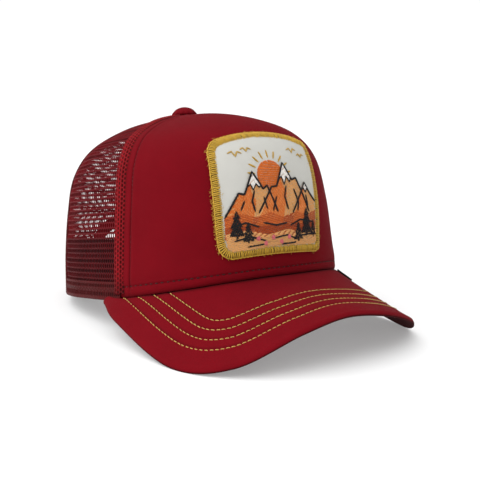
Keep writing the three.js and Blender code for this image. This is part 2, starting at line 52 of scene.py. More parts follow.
# Crown: height, half width, front reach, back reach, shift of the centre and lift of the front.
crown_rows = np.array([
    [0, 85, 95.6, 98.5, 0, 0],
    [28.7, 83, 96.2, 102.7, 0, 0],
    [57.5, 79.8, 97.2, 101.7, 0, 0],
    [81.4, 75.6, 93.4, 91.6, 0.6, 3.1],
    [99.4, 64, 82.6, 72.8, 1.8, 1.2],
    [112, 40.6, 63.5, 48.9, 3.5, -1.3],
    [118, 16.7, 35.9, 22.4, 5, -0.6],
    [119.8, 0, 0, 0, 5.5, 0],
])
rim_squareness = 0.54
rim_arch_height = 9.1
rim_arch_power = 1.22
rim_arch_fade = 3.5
rim_left_lift = 1.8
seam_angle_rim = 66.7
seam_angle_top = 63
side_seam_angle = 124
panel_top_share = 0.98
front_wall = 2.5
net_wall = 1.0

# Visor: its outer edge at half its thickness, from the right corner round the front to the left one,
# then the rise of each side half-way out and how far it lies towards the edge.
visor_edge_rows = np.array([
    [-85.3, -20.8, -2],
    [-92.1, -50.1, -11.8],
    [-89.2, -106.2, -32.9],
    [-68.4, -137.8, -33],
    [-32.2, -153.9, -18.1],
    [0, -155.8, -12.2],
    [35.3, -152.6, -16.3],
    [69, -137.7, -25.5],
    [92.2, -107.3, -32.8],
    [94.6, -53.6, -16],
    [85.2, -20.3, -0.3],
])
visor_bulge_right = 2.2
visor_bulge_left = -0.3
visor_lean_right = -0.54
visor_lean_left = 0.24
visor_thickness = 3.4
visor_edge_round = 1.7
visor_angle = 70.3
visor_gap = 0.3

# Opening at the back, its binding and the strap.
arch_half_width = 33.0
arch_height = 45.0
arch_power = 2.3
binding_width = 9.0
binding_lines = (2.2, 7.4)
binding_proud = 0.6
binding_wall = 2.4
strap_low = 1.6
strap_high = 19.6
strap_wall = 1.3
strap_tab = 9.0
strap_reach = 21.0
strap_end_round = 6.0
strap_outer_inset = 2.1
strap_inner_inset = 3.7
peg_pitch = 8.4
hole_count = 7
peg_count = 6
hole_radius = 2.1
sweatband_height = 37.7

# Patch, measured along the cloth.
patch_width = 75.0
patch_height = 71.6
patch_corners = [(1, 1, 3.0), (-1, 1, 8.5), (-1, -1, 9.0), (1, -1, 4.5)]
patch_smallest_corner = 1.5
patch_across = -4.5
patch_up = 48.4
patch_bow_side = 1.6
patch_bow_top = 6.9
patch_bow_bottom = -1.3
patch_clearance = 0.7
patch_ground_wall = 1.2
border_width = 5.2
border_height = 2.0
border_pitch = 2.3


def smoothstep(value):
    x = np.clip(value, 0, 1)
    return x * x * (3 - 2 * x)


def bump_at(distance, width):
    """1 at distance 0, falling to nothing a few widths away."""
    return np.exp(-(distance / width) ** 2)


def table_row(rows, before, after, share):
    """Smooth rows of a table at shares 0 to 1 of its length."""
    table = np.vstack([before, rows, after])
    place = np.clip(share, 0, 1) * (len(rows) - 1)
    index = np.minimum(len(rows) - 2, place.astype(int))
    t = (place - index)[..., None]
    p0, p1, p2, p3 = (table[index + step] for step in range(4))
    linear = (p2 - p0) * t
    square = (2 * p0 - 5 * p1 + 4 * p2 - p3) * t ** 2
    cube = (3 * p1 - p0 - 3 * p2 + p3) * t ** 3
    return (2 * p1 + linear + square + cube) / 2


crown_before = 2 * crown_rows[0] - crown_rows[1]
crown_after = crown_rows[-2] * [1, -1, -1, -1, 1, 1]


def crown_face(angle, share):
    """Points on the crown's outer face, for angles in degrees from the front and shares of its height."""
    angle, share = np.broadcast_arrays(np.asarray(angle, float), np.asarray(share, float))
    row = table_row(crown_rows, crown_before, crown_after, share)
    height, width, front, back, shift, front_lift = np.moveaxis(row, -1, 0)
    forward = np.cos(np.radians(angle))
    sideways = np.sin(np.radians(angle))
    reach = np.maximum(np.where(forward > 0, front, back), 0.001)
    power = 2 + rim_squareness * (1 - share)
    total = (np.abs(forward) / reach) ** power + (np.abs(sideways) / np.maximum(width, 0.001)) ** power
    radius = total ** (-1 / power)
    turn = np.minimum(1, np.abs(angle) / visor_angle)
    arch = rim_arch_height * np.maximum(0, np.cos(turn * np.pi / 2)) ** rim_arch_power
    arch = arch + np.where(angle > 0, rim_left_lift * np.sin(turn * np.pi) ** 2, 0)
    fade = np.maximum(0, 1 - rim_arch_fade * share) ** 2
    lift = front_lift * np.maximum(0, forward) ** 2
    z = height + lift + arch * fade
    return np.stack([radius * sideways, shift - radius * forward, z], -1)


def unit(vectors):
    return vectors / np.maximum(np.linalg.norm(vectors, axis=-1, keepdims=True), 1e-9)


def way_along(points):
    """Way from the first point of a line to each of its points."""
    return np.concatenate([[0], np.cumsum(np.linalg.norm(np.diff(points, axis=0), axis=-1))])


def crown_normal(angle, share):
    low = np.maximum(0, share - 0.004)
    high = np.minimum(1, share + 0.004)
    along = crown_face(angle + 0.4, share) - crown_face(angle - 0.4, share)
    up = crown_face(angle, high) - crown_face(angle, low)
    return unit(np.cross(along, up))


def crown_point(angle, share, out):
    """The same points moved outwards, square to the face, by out."""
    angle, share, out = np.broadcast_arrays(angle, share, out)
    return crown_face(angle, share) + crown_normal(angle, share) * out[..., None]


def seam_angle(share):
    return seam_angle_rim + (seam_angle_top - seam_angle_rim) * share


# Lengths along the cloth: up the crown at each angle, and round it from the front at each share.
share_steps = 400
angle_steps = 360
table_shares = np.linspace(0, 1, share_steps + 1)
table_angles = np.linspace(0, 180, angle_steps + 1)
half_crown = crown_face(table_angles[None, :], table_shares[:, None])
up_steps = np.linalg.norm(np.diff(half_crown, axis=0), axis=-1)
round_steps = np.linalg.norm(np.diff(half_crown, axis=1), axis=-1)
up_lengths = np.vstack([np.zeros(angle_steps + 1), np.cumsum(up_steps, axis=0)])
round_lengths = np.hstack([np.zeros((share_steps + 1, 1)), np.cumsum(round_steps, axis=1)])
half_rounds = round_lengths[:, -1]
length_shares = np.linspace(0, 1, angle_steps + 1)
angle_table = np.array([
    np.interp(length_shares * row[-1], row, table_angles) for row in round_lengths
])


def between(table, row, column):
    """Values of a table at places counted in whole and part rows and columns."""
    row = np.clip(row, 0, table.shape[0] - 1.001)
    column = np.clip(column, 0, table.shape[1] - 1.001)
    i, j = row.astype(int), column.astype(int)
    s, t = row - i, column - j
    low = table[i, j] * (1 - t) + table[i, j + 1] * t
    high = table[i + 1, j] * (1 - t) + table[i + 1, j + 1] * t
    return low * (1 - s) + high * s


def angle_at(length, share):
    """Angle at which the way round the crown from the front has this length, left positive."""
    half = np.interp(share, table_shares, half_rounds)
    part = np.abs(length) / np.maximum(half, 0.01)
    return np.sign(length) * between(angle_table, share * share_steps, part * angle_steps)


def length_at(angle, share):
    """Way round the crown from the front to an angle."""
    column = np.abs(angle) / 180 * angle_steps
    return np.sign(angle) * between(round_lengths, share * share_steps, column)


def up_at(angle, share):
    """Way up the crown from the rim at an angle."""
    return between(up_lengths, share * share_steps, np.abs(angle) / 180 * angle_steps)


def share_at(up, angle):
    """Share of the height at a way up from the rim, along the one angle."""
    column = up_lengths[:, round(abs(angle) / 180 * angle_steps)]
    return np.interp(up, column, table_shares)


# Seen straight from behind: share for a height and turn from the back seam for a distance sideways.
back_turns = np.linspace(0, 60, 241)
back_reach = crown_face(180 - back_turns[None, :], table_shares[:, None])[..., 0]
back_widths = np.linspace(0, 58, 233)
back_turn_table = np.array([np.interp(back_widths, row, back_turns) for row in back_reach])
back_heights = crown_face(180.0, table_shares)[:, 2]


def back_place(x, z):
    share = np.interp(z, back_heights, table_shares)
    column = np.abs(x) / back_widths[-1] * (len(back_widths) - 1)
    turn = between(back_turn_table, share * share_steps, column)
    return np.where(x < 0, -1, 1) * (180 - turn), share


def back_point(x, z, inset):
    x, z, inset = np.broadcast_arrays(np.asarray(x, float), z, inset)
    angle, share = back_place(x, z)
    return crown_point(angle, share, -inset)


# Mesh making
def to_scene(points):
    matrix = np.array(cap_place)
    return (points.reshape(-1, 3) @ matrix[:3, :3].T + matrix[:3, 3]) / 1000


def make_piece(name, body, material, nodes=()):
    """One smooth mesh from a body: points in mm, groups of faces with 3 or 4 corners, cloth coordinates
    in mm and shades. It rides on the cap, takes the given material and hides the CAD nodes it stands for."""
    points, faces, cloth, shade = body
    mesh = bpy.data.meshes.new(name)
    points = to_scene(np.asarray(points, float))
    groups = [np.asarray(group, int) for group in faces if len(group)]
    corners = np.concatenate([group.ravel() for group in groups])
    sizes = np.concatenate([np.full(len(group), group.shape[1]) for group in groups])
    mesh.vertices.add(len(points))
    mesh.vertices.foreach_set("co", points.ravel())
    mesh.loops.add(len(corners))
    mesh.loops.foreach_set("vertex_index", corners)
    mesh.polygons.add(len(sizes))
    mesh.polygons.foreach_set("loop_start", np.concatenate([[0], np.cumsum(sizes)[:-1]]))
    mesh.polygons.foreach_set("use_smooth", np.ones(len(sizes), bool))
    mesh.update(calc_edges=True)
    layer = mesh.uv_layers.new(name="cloth")
    layer.data.foreach_set("uv", np.asarray(cloth, float).reshape(-1, 2)[corners].ravel())
    values = np.array(np.broadcast_to(np.ravel(shade), len(points)), float)
    mesh.attributes.new("shade", "FLOAT", "POINT").data.foreach_set("value", values)
    mesh.materials.append(material)
    mesh.validate()
    piece = bpy.data.objects.new(name, mesh)
    bpy.context.scene.collection.objects.link(piece)
    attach(piece, "root")
    for node in nodes:
        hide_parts(node)


def join_parts(parts):
    """One body of several."""
    points, quads, triangles, cloths, shades = [], [], [], [], []
    start = 0
    for part_points, part_faces, part_cloth, part_shade in parts:
        part_points = part_points.reshape(-1, 3)
        for group in part_faces:
            (quads if group.shape[1] == 4 else triangles).append(group + start)
        points.append(part_points)
        cloths.append(part_cloth.reshape(-1, 2))
        shades.append(np.broadcast_to(part_shade, len(part_points)))
        start += len(part_points)
    faces = [np.concatenate(group) for group in (quads, triangles) if group]
    return np.concatenate(points), faces, np.concatenate(cloths), np.concatenate(shades)


def grid_quads(rows, columns, start=0, around=False):
    """Corners of the squares of a grid of points, turned outwards where columns run left to right."""
    index = start + np.arange(rows * columns).reshape(rows, columns)
    if around:
        index = np.hstack([index, index[:, :1]])
    return np.stack([index[:-1, :-1], index[:-1, 1:], index[1:, 1:], index[1:, :-1]], -1).reshape(-1, 4)


def shell(outer, inner, cloth, shade=1.0, inner_step=1):
    """Closed sheet between two grids of points. The inner face keeps each inner_step-th column."""
    rows, columns = outer.shape[:2]
    kept = np.unique(np.append(np.arange(0, columns, inner_step), columns - 1))
    count = rows * columns
    front = np.arange(count).reshape(rows, columns)
    back = count + np.arange(rows * len(kept)).reshape(rows, len(kept))
    quads = np.concatenate([
        grid_quads(rows, columns),
        grid_quads(rows, len(kept), count)[:, ::-1],
        np.stack([front[:-1, -1], back[:-1, -1], back[1:, -1], front[1:, -1]], -1),
        np.stack([front[1:, 0], back[1:, 0], back[:-1, 0], front[:-1, 0]], -1),
    ])
    # Along the first and last rows, the outer face's many points meet the inner face's few.
    at_left = np.searchsorted(kept, np.arange(columns - 1), "right") - 1
    triangles = []
    for row, flip in ((0, 1), (rows - 1, -1)):
        fan = np.stack([front[row, :-1], back[row, at_left], front[row, 1:]], -1)
        joint = np.stack([back[row, :-1], back[row, 1:], front[row, kept[1:]]], -1)
        triangles += [fan[:, ::flip], joint[:, ::flip]]
    points = np.concatenate([outer.reshape(-1, 3), inner[:, kept].reshape(-1, 3)])
    shades = np.broadcast_to(shade, (rows, columns))
    shades = np.concatenate([shades.ravel(), shades[:, kept].ravel()])
    cloths = np.concatenate([cloth.reshape(-1, 2), cloth[:, kept].reshape(-1, 2)])
    return points, [quads, np.concatenate(triangles)], cloths, shades


def arched(steps, power=1.0):
    """Heights that rise from 0 to 1 and fall again."""
    return np.sin(np.linspace(0, np.pi, steps)) ** power


def threads(paths, normals, radius, sides=6, flat=1.0, taper=0.45):
    """Closed round threads along many paths (threads, steps, 3), flattened along the normals."""
    count, steps = paths.shape[:2]
    tangent = unit(np.gradient(paths, axis=1))
    side = unit(np.cross(tangent, normals))
    upward = unit(np.cross(side, tangent))
    turn = np.arange(sides) / sides * 2 * np.pi - np.pi / 2
    radius = np.broadcast_to(np.asarray(radius, float), (count,))[:, None, None, None]
    thin = np.ones(steps)
    thin[[0, -1]] = taper
    ring = side[:, :, None] * np.cos(turn)[:, None] + upward[:, :, None] * (flat * np.sin(turn))[:, None]
    points = paths[:, :, None] + ring * radius * thin[None, :, None, None]
    first = np.arange(count) * steps * sides
    tube = (first[:, None, None] + grid_quads(steps, sides, around=True)[None]).reshape(-1, 4)
    caps = [[0, 3, 2, 1], [0, 5, 4, 3]] if sides == 6 else [[0, 3, 2, 1]]
    low = (first[:, None, None] + np.array(caps)[None]).reshape(-1, 4)
    high = (first[:, None, None] + np.array(caps)[None, :, ::-1] + (steps - 1) * sides).reshape(-1, 4)
    lengths = np.linalg.norm(np.diff(paths, axis=1), axis=-1)
    along = np.hstack([np.zeros((count, 1)), np.cumsum(lengths, axis=1)])
    along = along + random.random((count, 1)) * 3
    cloth = np.empty((count, steps, sides, 2))
    cloth[..., 0] = along[:, :, None]
    cloth[..., 1] = np.arange(sides) / sides
    shades = np.repeat(1 + 0.1 * random.standard_normal(count), steps * sides)
    return points.reshape(-1, 3), [np.concatenate([tube, low, high])], cloth.reshape(-1, 2), shades


def sewn(starts, length, place, low, rise, radius, steps=5):
    """Stitches of a length along a line of the crown, on which place gives the angle and share."""
    angle, share = place(starts[:, None] + np.linspace(0, length, steps))
    out = low + rise * arched(steps)
    return threads(crown_point(angle, share, out), crown_normal(angle, share), radius)


# Materials
class Shader:
    """One material, with short ways to add its nodes. Cloth coordinates are in millimetres."""

    def __init__(self, name):
        self.material = bpy.data.materials.new(name)
        self.material.use_nodes = True
        self.tree = self.material.node_tree
        self.surface = self.tree.nodes["Principled BSDF"]
        self.cloth = self.add("UVMap", uv_map="cloth").outputs["UV"]

    def feed(self, socket, value):
        if isinstance(value, bpy.types.NodeSocket):
            self.tree.links.new(value, socket)
        else:
            socket.default_value = value

    def add(self, kind, inputs=None, **settings):
        node = self.tree.nodes.new("ShaderNode" + kind)
        for key, value in settings.items():
            setattr(node, key, value)
        for key, value in (inputs or {}).items():
            self.feed(node.inputs[key], value)
        return node

    def math(self, operation, first, second=0.0):
        return self.add("Math", {0: first, 1: second}, operation=operation).outputs[0]

    def wave(self, value, pitch):
        """Sine of a length, once for each pitch."""
        return self.math("SINE", self.math("MULTIPLY", value, 2 * math.pi / pitch))

    def noise(self, size, detail=3.0, roughness=0.6):
        """Noise with lumps of a size in millimetres, from 0 to 1."""
        inputs = {"Vector": self.cloth, "Scale": 1 / size, "Detail": detail, "Roughness": roughness}
        return self.add("TexNoise", inputs).outputs[0]

    def range(self, value, low, high, to_low, to_high):
        inputs = {0: value, 1: low, 2: high, 3: to_low, 4: to_high}
        return self.add("MapRange", inputs).outputs[0]

    def rough(self, value, low, high, to_low, to_high):
        """Roughness that follows a value."""
        self.feed(self.surface.inputs["Roughness"], self.range(value, low, high, to_low, to_high))

    def mix(self, share, first, second):
        node = self.add("Mix", {0: share, 6: first, 7: second}, data_type="RGBA")
        return node.outputs[2]

    def bump(self, height, depth, strength=1.0):
        """Bump whose height 0 to 1 stands for a depth in millimetres."""
        inputs = {"Height": height, "Distance": depth / 1000, "Strength": strength}
        self.feed(self.surface.inputs["Normal"], self.add("Bump", inputs).outputs[0])

    def paint(self, colour):
        """Colour darkened by the shade that the mesh holds: painted shade in most pieces, a random tone in
        the threads.
        """
        shade = self.add("Attribute", attribute_name="shade").outputs["Fac"]
        black = (0, 0, 0, 1)
        clear = self.math("MINIMUM", shade, 1.0)
        self.feed(self.surface.inputs["Base Color"], self.mix(clear, black, colour))


def rgb(code):
    """Linear colour from a hexadecimal screen colour."""
    values = [int(code[place:place + 2], 16) / 255 for place in (0, 2, 4)]
    linear = [v / 12.92 if v <= 0.04045 else ((v + 0.055) / 1.055) ** 2.4 for v in values]
    return (*linear, 1)


def darker(colour, share):
    return (*[value * share for value in colour[:3]], 1)


def woven(name, colour, pitch=0.55, depth=0.12, twill=True, roughness=0.85, sheen=0.01, tone_and_shade_spread=0.12):
    """Woven cloth: crossing threads of a pitch in mm, in twill or plain weave, with soft patches."""
    shader = Shader(name)
    parts = shader.add("SeparateXYZ", {0: shader.cloth})
    across, up = parts.outputs[0], parts.outputs[1]
    if twill:
        ridge = shader.wave(shader.math("ADD", across, up), pitch)
        fine = shader.wave(shader.math("SUBTRACT", across, up), pitch * 0.5)
        weave = shader.math("ADD", ridge, shader.math("MULTIPLY", fine, 0.4))
    else:
        weave = shader.math("MULTIPLY", shader.wave(across, pitch), shader.wave(up, pitch))
    slubs = shader.noise(pitch * 3)
    height = shader.math("ADD", shader.range(weave, -1.4, 1.4, 0, 0.8), shader.math("MULTIPLY", slubs, 0.5))
    patches = shader.noise(24, 4)
    # Painted shade: the colour is darker where the weave and slubs lie low, and it also varies in soft
    # patches of its own.
    tone = shader.math("ADD", shader.math("MULTIPLY", height, 0.35), patches)
    shade = shader.range(tone, 0.35, 1.05, 0, 1)
    shader.paint(shader.mix(shade, darker(colour, 1 - tone_and_shade_spread), darker(colour, 1 + tone_and_shade_spread)))
    shader.rough(slubs, 0.2, 0.8, roughness - 0.08, roughness + 0.1)
    shader.surface.inputs["Specular IOR Level"].default_value = 0.05
    shader.surface.inputs["Sheen Weight"].default_value = sheen
    shader.surface.inputs["Sheen Roughness"].default_value = 0.45
    shader.bump(height, depth)
    return shader.material


def knitted(name, colour, roughness=0.5, pitch=0.5):
    """Warp-knitted net yarn: small slanted loops with a slight gloss."""
    shader = Shader(name)
    parts = shader.add("SeparateXYZ", {0: shader.cloth})
    across, up = parts.outputs[0], parts.outputs[1]
    slanted = shader.math("ADD", up, shader.math("MULTIPLY", shader.wave(across, pitch * 2), pitch * 0.3))
    loops = shader.wave(slanted, pitch)
    ribs = shader.wave(across, pitch * 0.55)
    height = shader.range(shader.math("ADD", loops, shader.math("MULTIPLY", ribs, 0.5)), -1.5, 1.5, 0, 1)
    # Painted shade: the colour is darker between the loops, and it also varies in soft patches of its own.
    tone = shader.math("ADD", shader.math("MULTIPLY", height, 0.5), shader.noise(14))
    shade = shader.range(tone, 0.4, 1.2, 0, 1)
    shader.paint(shader.mix(shade, darker(colour, 0.72), darker(colour, 1.2)))
    shader.rough(height, 0, 1, roughness + 0.12, roughness - 0.08)
    shader.surface.inputs["Specular IOR Level"].default_value = 0.07
    shader.bump(height, 0.1)
    return shader.material


def spun(name, colour, twist=0.7, roughness=0.5, depth=0.06, tone_and_shade_spread=0.22):
    """Sewing thread: strands twisted round each other, with a soft gloss."""
    shader = Shader(name)
    parts = shader.add("SeparateXYZ", {0: shader.cloth})
    along, around = parts.outputs[0], parts.outputs[1]
    strands = shader.math("ADD", shader.math("DIVIDE", along, twist), shader.math("MULTIPLY", around, 2))
    height = shader.range(shader.wave(strands, 1), -1, 1, 0, 1)
    # Painted shade: the colour is darker between the strands, and it also varies at random along the thread.
    tone = shader.math("ADD", shader.math("MULTIPLY", height, 0.5), shader.noise(1.3))
    shade = shader.range(tone, 0.35, 1.15, 0, 1)
    shader.paint(shader.mix(shade, darker(colour, 1 - tone_and_shade_spread), darker(colour, 1 + tone_and_shade_spread)))
    shader.rough(height, 0, 1, roughness + 0.1, roughness - 0.05)
    shader.surface.inputs["Specular IOR Level"].default_value = 0.25
    shader.surface.inputs["Sheen Weight"].default_value = 0.03
    shader.bump(height, depth)
    return shader.material


def moulded(name, colour, roughness=0.38):
    """Moulded plastic with a fine grain and small scuffs."""
    shader = Shader(name)
    grain = shader.noise(0.35, 4)
    scuffs = shader.noise(5, 6, 0.75)
    shader.paint(shader.mix(scuffs, darker(colour, 0.85), darker(colour, 1.35)))
    shader.rough(scuffs, 0.3, 0.75, roughness - 0.06, roughness + 0.14)
    shader.bump(shader.math("ADD", grain, scuffs), 0.03, 0.6)
    return shader.material


crimson = rgb("680611")
cloth_crown = woven("crimson_twill", crimson, pitch=0.62, depth=0.1)
cloth_visor = woven("crimson_visor_twill", crimson, pitch=0.62, depth=0.1)
net_yarn = knitted("crimson_net_yarn", rgb("760d17"))
# The hem and seam yarn is the net yarn drawn darker: painted shade, and at the rim the black sweatband seen
# through the doubled net.
darkened_hem_yarn = knitted("crimson_hem_yarn", rgb("4c0b0d"), pitch=0.6)
strip_yarn = knitted("bright_seam_yarn", rgb("900e18"), roughness=0.55, pitch=0.6)
band_cloth = woven("black_band_twill", rgb("141416"), pitch=0.8, depth=0.15, roughness=0.9, sheen=0.05)
strap_plastic = moulded("black_strap_plastic", rgb("121214"))
patch_twill = woven("white_patch_twill", rgb("bcbbb5"), pitch=0.7, depth=0.16, sheen=0.05, tone_and_shade_spread=0.04)
gold_thread = spun("gold_thread", rgb("b8922f"), roughness=0.42, tone_and_shade_spread=0.3)
khaki_thread = spun("khaki_thread", rgb("b4944c"), roughness=0.45)
dark_thread = spun("dark_crimson_thread", rgb("4a0911"))
# Near black: the stitch thread's own dark colour together with the painted shade of the holes it sinks into.
needle_thread = spun("sunk_dark_thread", rgb("22060a"))
black_thread = spun("black_thread", rgb("131214"), roughness=0.45)
label_weave = woven("black_label_weave", rgb("0e0e10"), pitch=0.3, depth=0.06, twill=False, roughness=0.6)


def ripple(across, up, size):
    """Gentle unevenness of sewn cloth, about -1 to 1, with lumps of a size in mm."""
    waves = [(1.0, 0.3, 0.4), (-0.5, 1.1, 2.1), (0.8, -0.9, 4.0), (1.7, 1.3, 1.3), (-1.9, 0.6, 5.2)]
    total = 0
    for along, high, phase in waves:
        total = total + np.sin((along * across + high * up) / size * 2 + phase)
    return total / 3


def zigzag(value):
    """Triangle wave from -1 to 1, once for each whole number."""
    part = value - np.floor(value)
    return 1 - 4 * np.abs(part - 0.5)


# Front panel
joint_stitch_up = 5.0
joint_stitch_pitch = 3.8
joint_stitch_length = 1.9
side_stitch_in = 10.8
side_stitch_pitch = 2.9
side_stitch_length = 2.3
narrow_below = 30
# Columns and rows of the front panel lie close together along its stitch lines.
front_columns = np.array([0.15, 3, 6, 8, 9, 9.6, 10.1, 10.5, 10.8, 11.1, 11.5, 12, 12.8, 14])
front_rows = np.array([0, 0.25, 0.6, 1.1, 1.8, 2.6, 3.4, 4.1, 4.5, 4.8, 5.0, 5.2, 5.5, 5.9, 6.6, 7.6])


def front_edge(share):
    """Way from the front panel's middle to its seam, and how much its details are drawn in there."""
    edge = length_at(seam_angle(share), share)
    return edge, np.minimum(1, edge / narrow_below)


def front_panel():
    middle = np.linspace(0, 1, 120)[1:-1]
    top = up_at(0, panel_top_share)
    rows_up = np.concatenate([front_rows, np.linspace(8.8, top, 96)])
    share = share_at(rows_up, 0)[:, None]
    edge, narrow = front_edge(share)
    left = -edge + front_columns * narrow
    right = edge - front_columns[::-1] * narrow
    inside = left[:, -1:] + (right[:, :1] - left[:, -1:]) * middle
    across = np.hstack([left, inside, right])
    share = np.broadcast_to(share, across.shape)
    angle = angle_at(across, share)
    up = np.broadcast_to(rows_up[:, None], across.shape)
    from_side = (edge - np.abs(across)) / narrow
    groove = bump_at(from_side - side_stitch_in, 0.65) * smoothstep(up / 6)
    line = bump_at(up - joint_stitch_up, 0.5)
    roll = 1.3 * np.maximum(0, 1 - up / 3.2) ** 2.2
    puffed = 0.35 * bump_at(up - 9.5, 4)
    puffed = puffed + 0.35 * bump_at(from_side - 13.5, 2.5) + 0.3 * bump_at(from_side - 8, 2)
    puckers = 0.12 * bump_at(up - joint_stitch_up, 3) * ripple(across, up, 8)
    pulls = 0.1 * bump_at(from_side - side_stitch_in, 2.5) * ripple(up, across, 7)
    lumps = 0.28 * ripple(across, up, 46) * smoothstep(up / 20)
    out = puffed + puckers + pulls + lumps - roll - 0.55 * groove - 0.4 * line
    # Painted shade: darker in the stitch groove beside each strip, along the sunk joint stitches and in the
    # crease where the panel tucks under the visor.
    shade = 1 - 0.42 * groove - 0.25 * line - 0.45 * np.maximum(0, 1 - up / 1.4)
    outer = crown_point(angle, share, out)
    inner = crown_point(angle, share, -front_wall + 0.15 * ripple(across, up, 9))
    body = shell(outer, inner, np.stack([across, up], -1), shade, inner_step=6)
    make_piece("front_panel", body, cloth_crown, ["front_panel"])
    side_threads()
    joint_threads()


def side_stitch_place(hand, up):
    share = share_at(up, 0)
    edge, narrow = front_edge(share)
    return angle_at(hand * (edge - side_stitch_in * narrow), share), share


def side_threads():
    """Thread in the stitch line beside each seam strip."""
    starts = np.arange(6, up_at(0, panel_top_share) - 2, side_stitch_pitch)
    parts = []
    for hand in (-1, 1):
        place = partial(side_stitch_place, hand)
        parts.append(sewn(starts, side_stitch_length, place, -0.62, 0.16, 0.24))
    make_piece("front_topstitch", join_parts(parts), dark_thread)


def joint_place(across):
    share = share_at(np.full(across.shape, joint_stitch_up), 0)
    return angle_at(across, share), share


def joint_threads():
    """Dark stitches sunk into the cloth above the visor."""
    half = length_at(seam_angle_rim, 0) - 8
    starts = np.arange(-half, half, joint_stitch_pitch)
    starts = starts + 0.15 * random.standard_normal(len(starts))
    body = sewn(starts, joint_stitch_length, joint_place, -0.42, 0.3, 0.36)
    make_piece("front_joint_stitching", body, needle_thread)


front_panel()


# Net panels: rows of upright holes, each row set half a hole to the side of the last.
net_pitch_across = 2.2
net_pitch_up = 3.2
net_thickness = 0.55
net_hem = 11.0
net_reach = 80
net_arch_gap = 5
net_ring = np.array([[-2, -1], [0, -1], [2, -1], [2, 0], [2, 1], [0, 1], [-2, 1], [-2, 0]])


def arch_inside(x, z, extra):
    """True inside the opening at the back, grown by extra."""
    across = np.abs(x) / (arch_half_width + extra)
    high = np.maximum(z, 0) / (arch_height + extra)
    return across ** arch_power + high ** arch_power < 1


def edge_walls(edges, count):
    """Squares between the open edges of a face and those of its twin, whose points come count later."""
    _, first, times = np.unique(np.sort(edges, 1), axis=0, return_index=True, return_counts=True)
    rim = edges[first[times == 1]]
    return np.stack([rim[:, 0], rim[:, 0] + count, rim[:, 1] + count, rim[:, 1]], -1)


def net_panel(name, centre, near, far, hand):
    """Net from the angle near, or from the front's seam if that is None, to far, cut back at the arch."""
    mid = hand * centre
    rows = int(up_at(mid, panel_top_share) / net_pitch_up)
    columns = int(net_reach / net_pitch_across)
    row, column = np.meshgrid(np.arange(rows), np.arange(-columns, columns + 1), indexing="ij")
    centre_a = 4 * column + 2 * (row % 2)
    centre_b = 2 * row + 1

    def place(a, b):
        up = b * net_pitch_up / 2
        share = share_at(up, mid)
        length = length_at(mid, share) + a * net_pitch_across / 4
        return length, share, up

    length, share, up = place(centre_a, centre_b)
    low = length_at(seam_angle(share) if near is None else near, share)
    kept = (length * hand > low) & (length * hand < length_at(far, share))
    angle = angle_at(length, share)
    points = crown_face(angle, share)
    kept &= ~((points[..., 1] > 0) & arch_inside(points[..., 0], points[..., 2], net_arch_gap))
    cells = np.stack([centre_a[kept], centre_b[kept]], -1)
    odd = (row[kept] % 2).astype(float)
    ring = cells[:, None] + net_ring[None]
    lattice, index = np.unique(ring.reshape(-1, 2), axis=0, return_inverse=True)
    index = index.reshape(ring.shape[:2])
    turn = np.arctan2(net_ring[:, 1] * 1.25, net_ring[:, 0] * 0.62)
    cos, sin = np.cos(turn), np.sin(turn)
    hole_across = (0.5 + 0.08 * odd)[:, None] * np.sign(cos) * np.abs(cos) ** 0.8
    hole_up = (1.15 - 0.2 * odd)[:, None] * np.sign(sin) * np.abs(sin) ** 0.9
    hole = np.stack([hole_across / (net_pitch_across / 4), hole_up / (net_pitch_up / 2)], -1)
    hole = cells[:, None] + hole

    def lay(values, out):
        length, share, up = place(values[:, 0], values[:, 1])
        angle = angle_at(length, share)
        wavy = 0.25 * ripple(length, up, 19) + 0.3 * np.sin(up / 16 * 2 * np.pi + length / 30)
        points = crown_point(angle, share, -net_wall / 2 + out + wavy)
        return points, np.stack([length, up], -1)

    half = net_thickness / 2
    layers = [(lattice, half), (lattice, -half), (hole.reshape(-1, 2), 0)]
    laid = [lay(*layer) for layer in layers]
    points = np.concatenate([part for part, _ in laid])
    cloth = np.concatenate([part for _, part in laid])
    count = len(lattice)
    shape = ring.shape[:2]
    hole_index = 2 * count + np.arange(shape[0] * shape[1]).reshape(shape)

    def bridge(outer, inner):
        return np.stack([outer, np.roll(outer, -1, 1), np.roll(inner, -1, 1), inner], -1).reshape(-1, 4)

    faces = [bridge(index, hole_index), bridge(index + count, hole_index)[:, ::-1]]
    edges = np.stack([index, np.roll(index, -1, 1)], -1).reshape(-1, 2)
    faces.append(edge_walls(edges, count))
    quads = np.concatenate(faces)
    # Painted shade: the upright bars of every other row, as if they lay lower, the cross bars and the edges
    # of the holes are drawn darker, and a painted shadow darkens the yarn where the sweatband is behind it.
    upright = lattice[:, 1] % 2 == 1
    shaded_upright = upright & (lattice[:, 1] // 2 % 2 == 1)
    bars = np.where(shaded_upright, 0.62, np.where(upright, 1.0, 0.75))
    shade = np.concatenate([bars, bars, np.repeat(0.5 - 0.2 * odd, len(net_ring))])
    shade = shade * (0.6 + 0.4 * smoothstep((cloth[:, 1] - sweatband_height) / 3))
    make_piece(name, (points, [quads], cloth, shade), net_yarn, [name])


def net_panels():
    for hand, side in ((-1, "right"), (1, "left")):
        net_panel("net_side_" + side, 95, None, side_seam_angle, hand)
        net_panel("net_back_" + side, 152, side_seam_angle, 179.9, hand)


net_panels()


